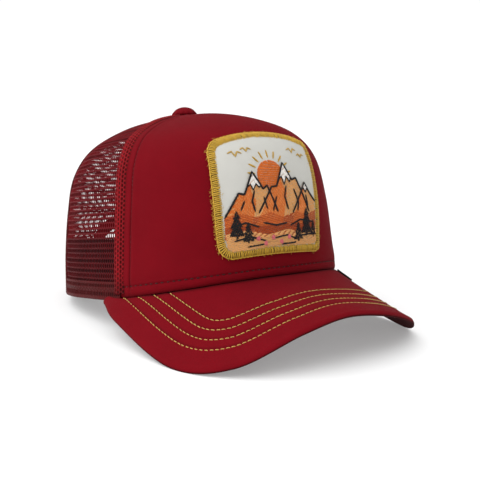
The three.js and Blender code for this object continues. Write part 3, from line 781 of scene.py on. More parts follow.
# Tapes over seams and hems: closed bands whose outer face has real ridges and stitch holes.
def tape(name, along, across, place, relief, low, material, nodes=()):
    """Band with length steps along and width steps across in mm. place gives the angle and share there,
    relief the outer height and shade, and low the height of the inner face."""
    length, width = np.meshgrid(along, across, indexing="ij")
    angle, share = place(length, width)
    out, shade = relief(length, width)
    outer = crown_point(angle, share, out)
    inner = crown_point(angle, share, low)
    body = shell(outer, inner, np.stack([width, length], -1), shade, inner_step=len(across))
    make_piece(name, body, material, nodes)


# Angle at which heights along the strip are measured, then its sizes.
strip_angle = 65
strip_half = 4.7
strip_pitch = 2.8
strip_forward = 1.6
# Columns of holes: middle, shift in pitches, half width and height, depth and darkness, the painted shade
# inside them.
strip_holes = [
    (2.0, 0, (0.8, 1.0), 1.0, 0.95),
    (3.9, 0.5, (0.55, 0.8), 0.6, 0.85),
    (-0.4, 0.5, (0.66, 0.9), 0.5, 0.85),
    (-2.7, 0, (0.7, 0.95), 0.5, 0.85),
]


def spots(along, pitch, aside, size):
    """Holes in a row, one for each pitch: 1 at their middles, fading to nothing beyond their size."""
    from_middle = along - np.round(along / pitch) * pitch
    away = np.hypot(aside / size[0], from_middle / size[1])
    return 1 - smoothstep(away - 0.5)


def strip_place(hand, length, width):
    """The columns run from left to right as seen from outside, on both sides of the cap."""
    share = share_at(length, strip_angle)
    middle = length_at(seam_angle(share), share) - strip_forward * (1 - share)
    return hand * angle_at(middle + hand * width, share), share


def strip_relief(hand, length, width):
    """Net doubled over a bright tape: a chain of ridges and four columns of holes."""
    front = -hand * width
    chain = bump_at(front + 1.15 - 0.8 * zigzag(length / strip_pitch), 0.55)
    dome = 0.35 * (1 - (width / strip_half) ** 2)
    fall = 0.75 * smoothstep((np.abs(width) - strip_half + 0.7) / 0.7)
    out = 0.8 + dome + 0.4 * chain - fall
    # Painted shade: darker in the holes, between the chain's ridges and where the sides fall away.
    shade = 0.8 + 0.2 * chain - 0.4 * fall
    for middle, shift, size, depth, darkness in strip_holes:
        hole = spots(length + shift * strip_pitch, strip_pitch, front - middle, size)
        out = out - depth * hole
        shade = shade - darkness * hole
    # The strip is drawn darker towards the rim.
    darker_near_rim = 0.45 + 0.55 * smoothstep(length / 18)
    return out, np.clip(shade * darker_near_rim, 0.03, 1)


def seam_strips():
    along = np.arange(up_at(strip_angle, 0.014), up_at(strip_angle, 0.918), strip_pitch / 8)
    across = np.linspace(-strip_half, strip_half, 33)
    for hand, side in ((-1, "right"), (1, "left")):
        name = "seam_strip_" + side
        place = partial(strip_place, hand)
        relief = partial(strip_relief, hand)
        tape(name, along, across, place, relief, 0.2, strip_yarn, [name])


seam_strips()


def seam_relief(length, width):
    """Doubled net at a seam between two net panels."""
    turns = length / 2.6
    ridge = bump_at(np.abs(width) - 1.5, 0.4) * (0.65 + 0.35 * np.cos(turns * 4 * np.pi))
    holes = bump_at(width - 0.6 * zigzag(turns), 0.3) * bump_at(zigzag(turns * 2) - 1, 0.7)
    fall = smoothstep((np.abs(width) - 2.1) / 0.6)
    # Painted shade: darker in the holes and where the sides fall away.
    out = 0.35 + 0.25 * ridge - 0.35 * holes - 0.5 * fall
    return out, np.clip(1 - 0.6 * holes - 0.3 * fall, 0.1, 1)


def net_seam_place(angle, length, width):
    share = share_at(length, angle)
    total = 2 * np.interp(share, table_shares, half_rounds)
    around = length_at(angle, share) + width
    around = np.where(around > total / 2, around - total, around)
    return angle_at(around, share), share


def net_seams():
    across = np.linspace(-2.7, 2.7, 15)
    seams = [("side_seam_right", -124.0, 0.4), ("side_seam_left", 124.0, 0.4), ("back_seam", 180.0, 53.5)]
    for name, angle, start in seams:
        along = np.arange(start, up_at(angle, 0.93), 0.55)
        place = partial(net_seam_place, angle)
        tape(name, along, across, place, seam_relief, -net_wall - 0.45, darkened_hem_yarn)


net_seams()


hem_low_row = 3.4
hem_high_row = 8.3
hem_zigzag = 5.9


def hem_relief(length, width):
    """Doubled net at the rim: two rows of holes and a zigzag between them, above a folded edge."""
    low = spots(length, net_pitch_across, width - hem_low_row, (1.3, 0.72))
    high = spots(length + net_pitch_across / 2, net_pitch_across, width - hem_high_row, (1.1, 0.72))
    zig = bump_at(width - hem_zigzag - 0.6 * zigzag(length / net_pitch_across / 2), 0.5)
    fold = 0.45 * np.maximum(0, 1 - width / 1.6) ** 2
    end = 0.5 * smoothstep((width - net_hem + 0.7) / 0.7)
    wavy = 0.3 * ripple(length, width, 19)
    # The holes are drawn dark, standing for the black sweatband seen through them together with painted
    # shade; the zigzag and the top end get painted shade too.
    out = 0.42 - 0.6 * (low + high) - 0.2 * zig - fold - end + wavy
    return out, np.clip(1 - 0.92 * low - 0.85 * high - 0.4 * zig - 0.2 * end, 0.04, 1)


def net_hems():
    across = np.concatenate([[0, 0.15, 0.4], np.arange(0.8, net_hem + 0.01, 0.34)])[::-1]
    rim_start = length_at(seam_angle_rim, 0) - 2.5
    for hand, side in ((-1, "right"), (1, "left")):
        foot, _ = back_place(hand * (arch_half_width + net_arch_gap), 3)
        along = np.arange(rim_start, length_at(abs(foot), 0), 0.42)
        along = along if hand > 0 else -along[::-1]
        length, width = np.meshgrid(along, across, indexing="ij")
        share = share_at(width, hand * 100)
        angle = angle_at(length * length_at(120, share) / length_at(120, 0), share)
        out, shade = hem_relief(length, width)
        outer = crown_point(angle, share, out)
        inner = crown_point(angle, share, -0.35)
        drop = 0.7 * np.maximum(0, 1 - width / 6)
        outer[..., 2] -= drop
        inner[..., 2] -= drop
        body = shell(outer, inner, np.stack([length, width], -1), shade, inner_step=9)
        make_piece("net_hem_" + side, body, darkened_hem_yarn)


net_hems()


# Visor
visor_before = 2 * visor_edge_rows[0] - visor_edge_rows[1]
visor_after = 2 * visor_edge_rows[-1] - visor_edge_rows[-2]
stitch_first = 13.0
stitch_between = 7.4
stitch_rows = stitch_first + stitch_between * np.arange(4)
under_shade = 0.72
stitch_pitch = 3.1
stitch_length = 2.7


def visor_edge(turn):
    return table_row(visor_edge_rows, visor_before, visor_after, (np.asarray(turn, float) + 1) / 2)


def visor_top(turn, out):
    """Upper face: turn -1 at the right corner to 1 at the left, out 0 at the crown to 1 at the edge."""
    turn, out = np.broadcast_arrays(np.asarray(turn, float), np.asarray(out, float))
    root = crown_face(turn * visor_angle, np.zeros(turn.shape)) - [0, 0, visor_gap]
    edge = visor_edge(turn) + [0, 0, visor_thickness / 2]
    point = root + (edge - root) * out[..., None]
    bulge = np.where(turn > 0, visor_bulge_left, visor_bulge_right)
    lean = np.where(turn > 0, visor_lean_left, visor_lean_right)
    point[..., 2] += bulge * turn ** 2 * 4 * out * (1 - out) * (1 + lean * (2 * out - 1))
    return point


def visor_normal(turn, out):
    step = 0.01
    along = visor_top(np.minimum(1, turn + step), out) - visor_top(np.maximum(-1, turn - step), out)
    away = visor_top(turn, np.minimum(1, out + step)) - visor_top(turn, np.maximum(0, out - step))
    normal = unit(np.cross(away, along))
    return np.where(normal[..., 2:] < 0, -normal, normal)


edge_turns = np.linspace(-1, 1, 801)
edge_line = visor_top(edge_turns, np.ones(801))


def visor_from_edge(points):
    """Shortest way from points on the visor to its outer edge."""
    flat = points.reshape(-1, 3)
    nearest = np.empty(len(flat))
    for start in range(0, len(flat), 4000):
        part = flat[start:start + 4000]
        nearest[start:start + 4000] = np.sqrt(((part[:, None] - edge_line[None, ::4]) ** 2).sum(-1)).min(1)
    return nearest.reshape(points.shape[:-1])


def row_distance(points, out):
    """Distance that the stitch rows follow: they run a little nearer the edge where they meet the crown."""
    return visor_from_edge(points) + 1.8 * np.maximum(0, 1 - out / 0.45) ** 2


def visor():
    turns = np.linspace(-1, 1, 221)
    outs = np.linspace(0, 1, 91)
    turn, out = np.meshgrid(turns, outs, indexing="ij")
    top = visor_top(turn, out)
    length = np.linalg.norm(top[:, -1] - top[:, 0], axis=-1)[:, None]
    distance = row_distance(top, out)
    dips = sum(bump_at(distance - row, 0.8) for row in stitch_rows)
    across = length_along(turn)
    gentle = 0.22 * ripple(across, out * length, 30)
    pucker = 0.05 * dips * np.sin(across / stitch_pitch * 2 * np.pi)
    normal = visor_normal(turn, out)
    cloth = np.stack([top[..., 0], -top[..., 1]], -1)
    rim = 1 - smoothstep((1 - out) * length / 6)
    height = (gentle * (1 - rim) - 0.24 * dips + pucker)[..., None]
    # The edge turns over in a half circle, from the upper face to the lower one.
    straight = 1 - visor_edge_round / length
    upper = visor_top(turn, out * straight) + normal * height
    sunk = (0.18 * dips - 0.15 * gentle)[..., None]
    lower = visor_top(turn, out * straight) - [0, 0, visor_thickness] - normal * sunk
    bend = np.linspace(0, np.pi, 11)[1:-1]
    turn_edge = np.broadcast_to(turns[:, None], (len(turns), len(bend)))
    straight_edge = np.broadcast_to(straight, turn_edge.shape)
    edge = visor_top(turn_edge, straight_edge + (1 - straight_edge) * np.sin(bend))
    edge = edge + np.stack([0 * bend, 0 * bend, -visor_thickness / 2 * (1 - np.cos(bend))], -1)
    tucked = crown_point(turns * visor_angle, np.zeros(len(turns)), -front_wall)[:, None]
    first = tucked - [0, 0, visor_gap + 0.2]
    last = tucked - [0, 0, visor_gap + visor_thickness]
    section = np.concatenate([first, upper, edge, lower[:, ::-1], last], axis=1)
    round_edge = np.repeat(cloth[:, -1:], len(bend), 1)
    wide = np.concatenate([cloth[:, :1], cloth, round_edge, cloth[:, ::-1], cloth[:, :1]], axis=1)
    columns = section.shape[1]
    at_edge = slice(1 + len(outs), 1 + len(outs) + len(bend))
    wide[:, at_edge, 1] += bend * visor_edge_round
    # Painted shade: darker in the stitch dips, beside the crown, over the lower half of the edge and under
    # the visor.
    shade = np.ones(section.shape[:2])
    shade[:, 1:1 + len(outs)] = 1 - 0.3 * dips - 0.6 * bump_at(out * length, 1.5)
    shade[:, at_edge] = 1 - under_shade * smoothstep((bend - 1.3) / 0.6)
    shade[:, 1 + len(outs) + len(bend):] = 1 - under_shade
    quads = grid_quads(len(turns), columns, around=True)
    half = columns // 2
    for end in (np.arange(columns)[::-1], (len(turns) - 1) * columns + np.arange(columns)):
        near, far = end[:half], end[::-1][:half]
        quads = np.concatenate([quads, np.stack([near[:-1], near[1:], far[1:], far[:-1]], -1)])
    body = (section.reshape(-1, 3), [quads], wide.reshape(-1, 2), shade)
    make_piece("visor", body, cloth_visor, ["visor"])


def length_along(turn):
    """Way along the outer edge from its centre."""
    way = way_along(edge_line)
    return np.interp(turn, edge_turns, way - way[len(way) // 2])


def stitch_row_path(distance):
    """Turns and outs of a stitch row, close together, from the right to the left."""
    turns = np.linspace(-0.995, 0.995, 500)
    outs = np.linspace(0, 0.98, 160)
    turn, out = np.meshgrid(turns, outs, indexing="ij")
    ways = row_distance(visor_top(turn, out), out)
    path = []
    for place, way in enumerate(ways):
        beyond = way >= distance
        if beyond[0] and not beyond[-1]:
            last = np.nonzero(beyond)[0].max()
            part = (way[last] - distance) / (way[last] - way[last + 1])
            path.append((turns[place], outs[last] + part * (outs[last + 1] - outs[last])))
    return np.array(path)


def visor_stitches():
    upper, lower = [], []
    for row in stitch_rows:
        path = stitch_row_path(row)
        points = visor_top(path[:, 0], path[:, 1])
        way = way_along(points)
        starts = np.arange(0.4, way[-1] - stitch_length, stitch_pitch)
        places = starts[:, None] + np.linspace(0, stitch_length, 6)
        places = places + 0.12 * random.standard_normal((len(starts), 1))
        turn = np.interp(places, way, path[:, 0])
        out = np.interp(places, way, path[:, 1])
        normal = visor_normal(turn, out)
        base = visor_top(turn, out)
        rise = 0.45 * arched(6, 0.6)[:, None]
        slant = (0.12 * np.linspace(-1, 1, 6) + 0.04 * random.standard_normal((len(starts), 1)))[..., None]
        aside = unit(np.cross(np.gradient(base, axis=1), normal)) * slant
        upper.append(threads(base + aside + normal * (rise - 0.26), normal, 0.29, flat=0.85))
        below = base - [0, 0, visor_thickness] - aside - normal * (rise - 0.28)
        lower.append(threads(below, -normal, 0.3, flat=0.85))
    for name, parts in (("visor_stitching_upper", upper), ("visor_stitching_lower", lower)):
        make_piece(name, join_parts(parts), khaki_thread)


visor()
visor_stitches()


# Covered button: cloth drawn over a dome and gathered underneath.
button_radius = 8.8
button_height = 6.6
button_profile = [
    (0, 1), (0.11, 0.99), (0.24, 0.97), (0.38, 0.92), (0.53, 0.85), (0.67, 0.75), (0.79, 0.62), (0.89, 0.47),
    (0.96, 0.35), (1, 0.23), (0.99, 0.14), (0.94, 0.07), (0.86, 0.05), (0.7, 0.05), (0.44, 0.1), (0.21, 0.15),
    (0.21, -0.35),
]


def top_button():
    profile = np.array(button_profile) * [button_radius, button_height]
    turns = 96
    turn = np.arange(turns) / turns * 2 * np.pi
    radius, height = profile[:, :1], profile[:, 1:]
    low = smoothstep((4.6 - height) / 3.4) * smoothstep(radius / 5)
    gathers = np.cos(turn * 13 + 0.6 * np.sin(turn * 3))
    folds = 0.22 * low * gathers + 0.1 * low * np.cos(turn * 29)
    wide = radius + folds
    points = np.stack([wide * np.cos(turn), wide * np.sin(turn), height + 0.1 * folds + 0 * turn], -1)
    points = points + crown_face(0.0, 1.0)
    cloth = np.stack([radius * np.cos(turn), radius * np.sin(turn) + height], -1)
    # Painted shade in the gathered folds low on the button.
    shade = 1 - 0.25 * low * (0.5 - 0.5 * gathers)
    quads = grid_quads(len(profile), turns, around=True)[:, ::-1]
    body = (points.reshape(-1, 3), [quads], cloth, shade)
    make_piece("top_button", body, cloth_crown, ["top_button"])


top_button()


# Sweatband inside the rim, with an edge stitch above and a folded edge below.
sweatband_wall = 1.5
sweatband_clearance = 0.6
sweatband_end = 45.0
sweatband_line = 3.6
# Stitch rows: height, pitch, stitch length and lean to both sides.
sweatband_rows = [
    (sweatband_line, 3.0, 2.4, 0.0),
    (35.6, 2.6, 2.6, 2.4),
]


def sweatband_place(length, up):
    share = np.interp(up, [0, sweatband_height], [0, 1])
    top = np.interp(sweatband_height, back_heights, table_shares)
    share = share * top
    angle = angle_at(length, share * 0)
    past = smoothstep((np.abs(angle) - 75) / 6)
    wall = front_wall + (net_wall - front_wall) * past
    drop = (0.5 - 3.7 * (1 - past)) * (1 - up / sweatband_height)
    return angle, share, wall + sweatband_clearance, drop


def sweatband():
    half = half_rounds[0] - sweatband_end
    along = np.linspace(-half, half, 330)
    foot = [0, 0.25, 0.7, 1.4, 2.4, 3.2, 3.6, 3.9]
    up = np.concatenate([foot, np.linspace(4.6, 34, 22), [35, 35.8, 36.5, 37.1, 37.5, sweatband_height]])
    high, length = np.meshgrid(up, along, indexing="ij")
    angle, share, inset, drop = sweatband_place(length, high)
    ends = np.minimum(high, sweatband_height - high)
    rounding = 0.55 * np.maximum(0, 1 - ends / 1.2) ** 2
    line = bump_at(high - sweatband_line, 0.4)
    folds = 0.12 * np.sin(length / 3.1 * 2 * np.pi) * bump_at(high - sweatband_line, 2)
    folds = folds + 0.2 * ripple(length, high, 14)
    outer = crown_point(angle, share, -inset - rounding * 0.6)
    inner = crown_point(angle, share, -inset - sweatband_wall + rounding - folds + 0.25 * line)
    outer[..., 2] += drop
    inner[..., 2] += drop
    # Painted shade along the stitched line.
    body = shell(outer, inner, np.stack([length, high], -1), 1 - 0.4 * line)
    make_piece("sweatband", body, band_cloth, ["sweatband"])
    sweatband_stitches(half)


def sweatband_stitches(half):
    parts = []
    for up, pitch, size, tall in sweatband_rows:
        starts = np.arange(-half + 2, half - 2, pitch)
        length = starts[:, None] + np.linspace(0, size, 5)
        lean = np.linspace(-0.5, 0.5, 5) * tall * np.where(np.arange(len(starts)) % 2, 1, -1)[:, None]
        angle, share, inset, drop = sweatband_place(length, up + lean)
        depth = inset + sweatband_wall + 0.05 + 0.2 * arched(5)
        points = crown_point(angle, share, -depth)
        points[..., 2] += drop
        parts.append(threads(points, -crown_normal(angle, share), 0.24))
    make_piece("sweatband_stitching", join_parts(parts), black_thread)


sweatband()


# Tape inside each seam between the front panel and the net.
def inner_tapes():
    along = np.arange(34, up_at(strip_angle, 0.95), 1.4)
    across = np.linspace(-5, 5, 17)
    length, width = np.meshgrid(along, across, indexing="ij")
    share = share_at(length, strip_angle)
    for hand, side in ((-1, "right"), (1, "left")):
        middle = length_at(seam_angle(share), share)
        narrow = np.minimum(1, middle / 25)
        angle = hand * angle_at(middle + hand * width * narrow, share)
        step = smoothstep((-hand * width + 1) / 2)
        inset = net_wall + 0.5 + (front_wall - net_wall) * step + 0.1 * ripple(length, width, 6)
        rounding = 0.25 * smoothstep((np.abs(width) - 4.2) / 0.8)
        outer = crown_point(angle, share, -inset - rounding)
        inner = crown_point(angle, share, -inset - 0.6 + rounding)
        body = shell(outer, inner, np.stack([width, length], -1))
        make_piece("inner_tape_" + side, body, band_cloth)


inner_tapes()


# Binding folded over the edge of the opening at the back
def arch_steps(count):
    """Shares of the half outline, spaced so that the points lie evenly."""
    turn = np.linspace(0, 1, 400) * np.pi / 2
    x = arch_half_width * np.cos(turn) ** (2 / arch_power)
    z = arch_height * np.sin(turn) ** (2 / arch_power)
    way = np.concatenate([[0], np.cumsum(np.hypot(np.diff(x), np.diff(z)))])
    return np.interp(np.linspace(0, way[-1], count), way, turn), way[-1]


def arch_outline(turn, extra):
    """Points across and up on the outline of the opening, grown by extra."""
    x = (arch_half_width + extra) * np.cos(turn) ** (2 / arch_power)
    z = (arch_height + extra) * np.sin(turn) ** (2 / arch_power)
    return x, z


def arch_binding():
    turn, total = arch_steps(90)
    fold = 1.2 - 1.2 * np.cos(np.linspace(0, np.pi / 2, 6))
    across = np.concatenate([fold, np.linspace(1.9, 7.9, 22), [binding_width]])
    x, z = arch_outline(turn[:, None], across[None, :])
    x = np.concatenate([-x[:-1], x[::-1]])
    z = np.concatenate([z[:-1], z[::-1]])
    way = np.concatenate([np.linspace(-total, 0, len(turn))[:-1], np.linspace(0, total, len(turn))])
    way, wide = np.meshgrid(way, across, indexing="ij")
    near = np.minimum(wide, binding_width - wide)
    rounding = 1.0 - np.sqrt(np.maximum(0, 1 - np.maximum(0, 1 - near / 1.2) ** 2))
    line = sum(bump_at(wide - at, 0.35) for at in binding_lines)
    beside = sum(bump_at(wide - at, 1.2) for at in binding_lines)
    folds = 0.1 * np.sin(way / 2.8 * 2 * np.pi) * beside
    out = binding_proud - rounding * 1.1 - 0.3 * line + folds + 0.15 * ripple(way, wide, 12)
    inset = binding_wall - binding_proud - rounding * 0.7
    outer = back_point(x, z, -out)
    inner = back_point(x, z, inset)
    cloth = np.stack([way, wide], -1)
    # Painted shade along the stitch lines.
    shade = 1 - 0.35 * line
    body = shell(outer[:, ::-1], inner[:, ::-1], cloth[:, ::-1], shade[:, ::-1])
    make_piece("arch_binding", body, cloth_crown, ["arch_binding"])
    parts = []
    for at in binding_lines:
        starts = np.arange(-total + 3, total - 3, 2.9)
        places = starts[:, None] + np.linspace(0, 2.2, 5)
        turned = np.interp(np.abs(places), np.linspace(0, total, len(turn)), turn[::-1])
        sideways, high = arch_outline(turned, at)
        height = binding_proud - 0.3 + 0.25 * arched(5)
        angle, share = back_place(np.sign(places) * sideways, high)
        parts.append(threads(crown_point(angle, share, height), crown_normal(angle, share), 0.24))
    make_piece("binding_stitching", join_parts(parts), dark_thread)


arch_binding()


# Snap strap
def strap_half(x):
    """Half the strap's height at a distance from its free end."""
    left = np.clip((x + strap_reach) / strap_end_round, 0, 1)
    tall = (strap_high - strap_low) / 2
    return tall - strap_end_round + strap_end_round * np.sqrt(np.maximum(0, 1 - (1 - left) ** 2))


def peg_inset(x):
    under = smoothstep((arch_half_width - x) / (arch_half_width - strap_reach - 2))
    return strap_outer_inset + (strap_inner_inset - strap_outer_inset) * under


def outer_inset(x):
    return np.full(x.shape, strap_outer_inset)


def strap_bars():
    return -strap_reach + peg_pitch / 2 + peg_pitch * np.arange(hole_count)


def strap_relief(x, z):
    """Raised edge round the strap and shallow ribs between the holes."""
    middle = (strap_low + strap_high) / 2
    half = strap_half(x)
    near = half - np.abs(z - middle)
    from_end = x + strap_reach
    near = np.minimum(near, from_end)
    rim = 0.28 * smoothstep((near - 0.05) / 0.35) * (1 - smoothstep((near - 1.2) / 0.4))
    ribs = 0.14 * bump_at(zigzag(x / peg_pitch + 0.5) - 1, 0.28) * smoothstep((near - 2.4) / 0.6)
    edge = 0.4 * np.maximum(0, 1 - near / 0.5) ** 2
    return rim + ribs - edge


def strap(hand, name, inset_at, with_holes):
    middle = (strap_low + strap_high) / 2
    start = arch_half_width + strap_tab
    # Grid columns along the strap, the same on each side of every hole's middle.
    bars = strap_bars()
    steps = np.array([-4.2, -3.4, -2.8, -2.1, -1.4, -0.7, 0, 0.7, 1.4, 2.1, 2.8, 3.4])
    free_end = -strap_reach + np.array([0, 0.2, 0.6])
    sewn_end = np.linspace(bars[-1] + peg_pitch / 2, start, 5)
    columns = np.concatenate([free_end, (bars[:, None] + steps).ravel()[1:], sewn_end])
    columns = np.unique(np.round(np.clip(columns, -strap_reach, start), 3))
    edge = np.array([0.45, 0.6, 0.72, 0.82, 0.9, 0.95, 0.985, 1])
    rows = np.concatenate([-edge[::-1], np.linspace(-0.34, 0.34, 11), edge])
    high, x = np.meshgrid(rows, columns, indexing="ij")
    z = middle + high * strap_half(x)
    rise = strap_relief(x, z)
    kept = np.ones(x.shape, bool)
    if with_holes:
        # Points near a hole are drawn onto its rim, and the squares inside it are left out.
        nearest = bars[np.abs(x[..., None] - bars).argmin(-1)]
        away = np.hypot(x - nearest, z - middle)
        inside = away < hole_radius * 0.98
        ring = (away >= hole_radius * 0.98) & (away < hole_radius * 1.42)
        scale = np.where(ring, hole_radius / np.maximum(away, 0.01), 1)
        x = nearest + (x - nearest) * scale
        z = middle + (z - middle) * scale
        kept = ~inside
        rise = np.where(ring, -0.1, rise)
    inset = inset_at(x)
    outer = back_point(hand * x, z, inset - rise)
    from_edge = strap_half(x) - np.abs(z - middle)
    rounding = 0.25 * np.maximum(0, 1 - from_edge / 0.5)
    inner = back_point(hand * x, z, inset + strap_wall - rounding)
    row_count, column_count = x.shape
    count = row_count * column_count
    quads = grid_quads(row_count, column_count)
    quads = quads[kept.ravel()[quads].all(1)]
    edges = np.concatenate([quads[:, [side, (side + 1) % 4]] for side in range(4)])
    faces = np.concatenate([quads, quads[:, ::-1] + count, edge_walls(edges, count)])
    if hand > 0:
        faces = faces[:, ::-1]
    points = np.concatenate([outer.reshape(-1, 3), inner.reshape(-1, 3)])
    cloth = np.tile(np.stack([x, z], -1).reshape(-1, 2), (2, 1))
    used = np.unique(faces)
    renumber = np.zeros(len(points), int)
    renumber[used] = np.arange(len(used))
    parts = [(points[used], [renumber[faces]], cloth[used], 1.0)]
    if not with_holes:
        parts.append(strap_pegs(hand, middle))
    make_piece(name, join_parts(parts), strap_plastic, [name])


# Radius and height of a peg from its foot to the middle of its rolled head
peg_profile = np.array([
    [1.45, -0.6], [1.5, 0.9], [1.45, 1.9], [1.62, 2.2], [1.7, 2.5],
    [1.62, 2.8], [1.3, 2.98], [0.7, 3.04], [0.02, 3.05],
])


def strap_pegs(hand, middle):
    """Round pegs with a rolled head that stand through the holes of the other half."""
    turns = np.arange(20) / 20 * 2 * np.pi
    places = -strap_bars()[:peg_count]
    angle, share = back_place(hand * -places, np.full(len(places), middle))
    base = crown_point(angle, share, -peg_inset(-places))
    outward = crown_normal(angle, share)
    side = unit(np.cross([0, 0, 1], outward))
    upward = np.cross(outward, side)
    radius, height = peg_profile[:, :1, None], peg_profile[:, 1:, None]
    around = side[:, None, None] * np.cos(turns)[:, None] + upward[:, None, None] * np.sin(turns)[:, None]
    points = base[:, None, None] + around * radius + outward[:, None, None] * height
    first = np.arange(len(places)) * len(peg_profile) * len(turns)
    quads = grid_quads(len(peg_profile), len(turns), around=True)
    quads = (first[:, None, None] + quads).reshape(-1, 4)
    cloth = np.stack(np.broadcast_arrays(turns, height[..., 0]), -1)
    cloth = np.broadcast_to(cloth, (*points.shape[:3], 2))
    return points.reshape(-1, 3), [quads], cloth.reshape(-1, 2), 1.0


strap(1, "strap_with_holes", outer_inset, True)
strap(-1, "strap_with_pegs", peg_inset, False)


# Small woven label on the visor's left side, beside the crown.
label_angles = (39, 50)
label_ways = (1.0, 13.0)
label_wall = 1.0


def side_label():
    turns = np.linspace(*label_angles, 40) / visor_angle
    first, last = label_ways
    edge = np.array([0, 0.2, 0.5])
    ways = np.concatenate([first + edge, np.linspace(first + 1, last - 1, 16), last - edge[::-1]])
    way, turn = np.meshgrid(ways, turns, indexing="ij")
    length = np.linalg.norm(visor_top(turn, 0) - visor_top(turn, 1), axis=-1)
    out = way / length
    normal = visor_normal(turn, out)
    near = np.minimum(way - first, last - way)
    rounding = 0.3 * np.maximum(0, 1 - near / 0.5) ** 2
    ribs = 0.04 * np.sin(way / 0.7 * 2 * np.pi)
    base = visor_top(turn, out) + normal * 0.3
    outer = base + normal * (label_wall - rounding + ribs)[..., None]
    points, faces, cloth, shade = shell(outer, base, np.stack([turn * 80, way], -1))
    body = (points, [group[:, ::-1] for group in faces], cloth, shade)
    make_piece("side_label", body, label_weave, ["side_label"])
    starts = np.arange(label_angles[0] + 0.5, label_angles[1] - 0.9, 0.95)
    turned = (starts[:, None] + np.linspace(0, 0.75, 5)) / visor_angle
    reach = np.linalg.norm(visor_top(turned, 0) - visor_top(turned, 1), axis=-1)
    away = (last - 0.6) / reach
    up = visor_normal(turned, away)
    rise = 0.3 + label_wall + 0.15 * arched(5)
    body = threads(visor_top(turned, away) + up * rise[:, None], up, 0.22)
    make_piece("label_edge_stitching", body, gold_thread)


side_label()


# Patch: white twill ground, embroidery and a merrowed border.
def patch_outline(inset, count=640):
    """Closed outline of the patch with its outward directions, evenly spaced, shrunk by inset."""
    half_width = patch_width / 2 - inset
    half_height = patch_height / 2 - inset
    arcs = []
    for corner, (side_x, side_y, radius) in enumerate(patch_corners):
        radius = max(patch_smallest_corner, radius - inset)
        angle = (corner + np.linspace(0, 1, 60)) * np.pi / 2
        middle = [side_x * (half_width - radius), side_y * (half_height - radius)]
        arcs.append(middle + radius * np.stack([np.cos(angle), np.sin(angle)], -1))
    points = []
    for arc, following in zip(arcs, arcs[1:] + arcs[:1]):
        straight = np.linspace(0, 1, 62)[1:-1, None]
        points += [arc, arc[-1] + (following[0] - arc[-1]) * straight]
    points = np.concatenate(points)
    x, y = points[:, 0] / half_width, points[:, 1] / half_height
    rise = np.where(y > 0, patch_bow_top, patch_bow_bottom)
    bow_x = patch_bow_side * (1 - y ** 2) * np.sign(x) * x ** 4
    bow_y = rise * (1 - x ** 2) * np.sign(y) * y ** 4
    points = points + np.stack([bow_x, bow_y], -1)
    closed = np.vstack([points, points[:1]])
    way = way_along(closed)
    even = np.linspace(0, way[-1], count + 1)[:-1]
    points = np.stack([np.interp(even, way, closed[:, 0]), np.interp(even, way, closed[:, 1])], -1)
    forward = unit(np.roll(points, -1, 0) - np.roll(points, 1, 0))
    return points, np.stack([forward[:, 1], -forward[:, 0]], -1), way[-1]


def patch_place(x, y):
    share = share_at(patch_up + y, 0)
    return angle_at(patch_across + x, share), share


def patch_point(x, y, height):
    angle, share = patch_place(x, y)
    return crown_point(angle, share, patch_clearance + height)


def patch_threads(xy, height, radius, flat=0.8, sides=6):
    """Threads over the patch along paths of x and y (threads, steps, 2) at heights above its back."""
    angle, share = patch_place(xy[..., 0], xy[..., 1])
    points = crown_point(angle, share, patch_clearance + height)
    return threads(points, crown_normal(angle, share), radius, sides, flat, 0.4)


def patch_ground():
    outline, _, _ = patch_outline(border_width - 1.5, 200)
    rings = np.linspace(0, 1, 46)[1:]
    xy = outline[None] * rings[:, None, None]
    height = patch_ground_wall + 0.12 * ripple(xy[..., 0], xy[..., 1], 11)
    upper = patch_point(xy[..., 0], xy[..., 1], height)
    lower = patch_point(outline[:, 0], outline[:, 1], 0.05)
    count = len(outline)
    centre = patch_point(np.zeros(1), np.zeros(1), patch_ground_wall)
    back = patch_point(np.zeros(1), np.zeros(1), 0.05)
    points = np.concatenate([upper.reshape(-1, 3), lower, centre, back])
    cloth = np.concatenate([xy.reshape(-1, 2), outline, np.zeros((2, 2))])
    ring_quads = grid_quads(len(rings), count, around=True)[:, ::-1]
    last = (len(rings) - 1) * count + np.arange(count)
    low = len(rings) * count + np.arange(count)
    side = np.stack([last, low, np.roll(low, -1), np.roll(last, -1)], -1)
    middle = len(rings) * count + count
    first = np.arange(count)
    fans = np.concatenate([
        np.stack([np.full(count, middle), first, np.roll(first, -1)], -1),
        np.stack([np.full(count, middle + 1), np.roll(low, -1), low], -1),
    ])
    body = (points, [np.concatenate([ring_quads, side]), fans], cloth, 1.0)
    make_piece("patch_ground", body, patch_twill, ["patch_ground"])


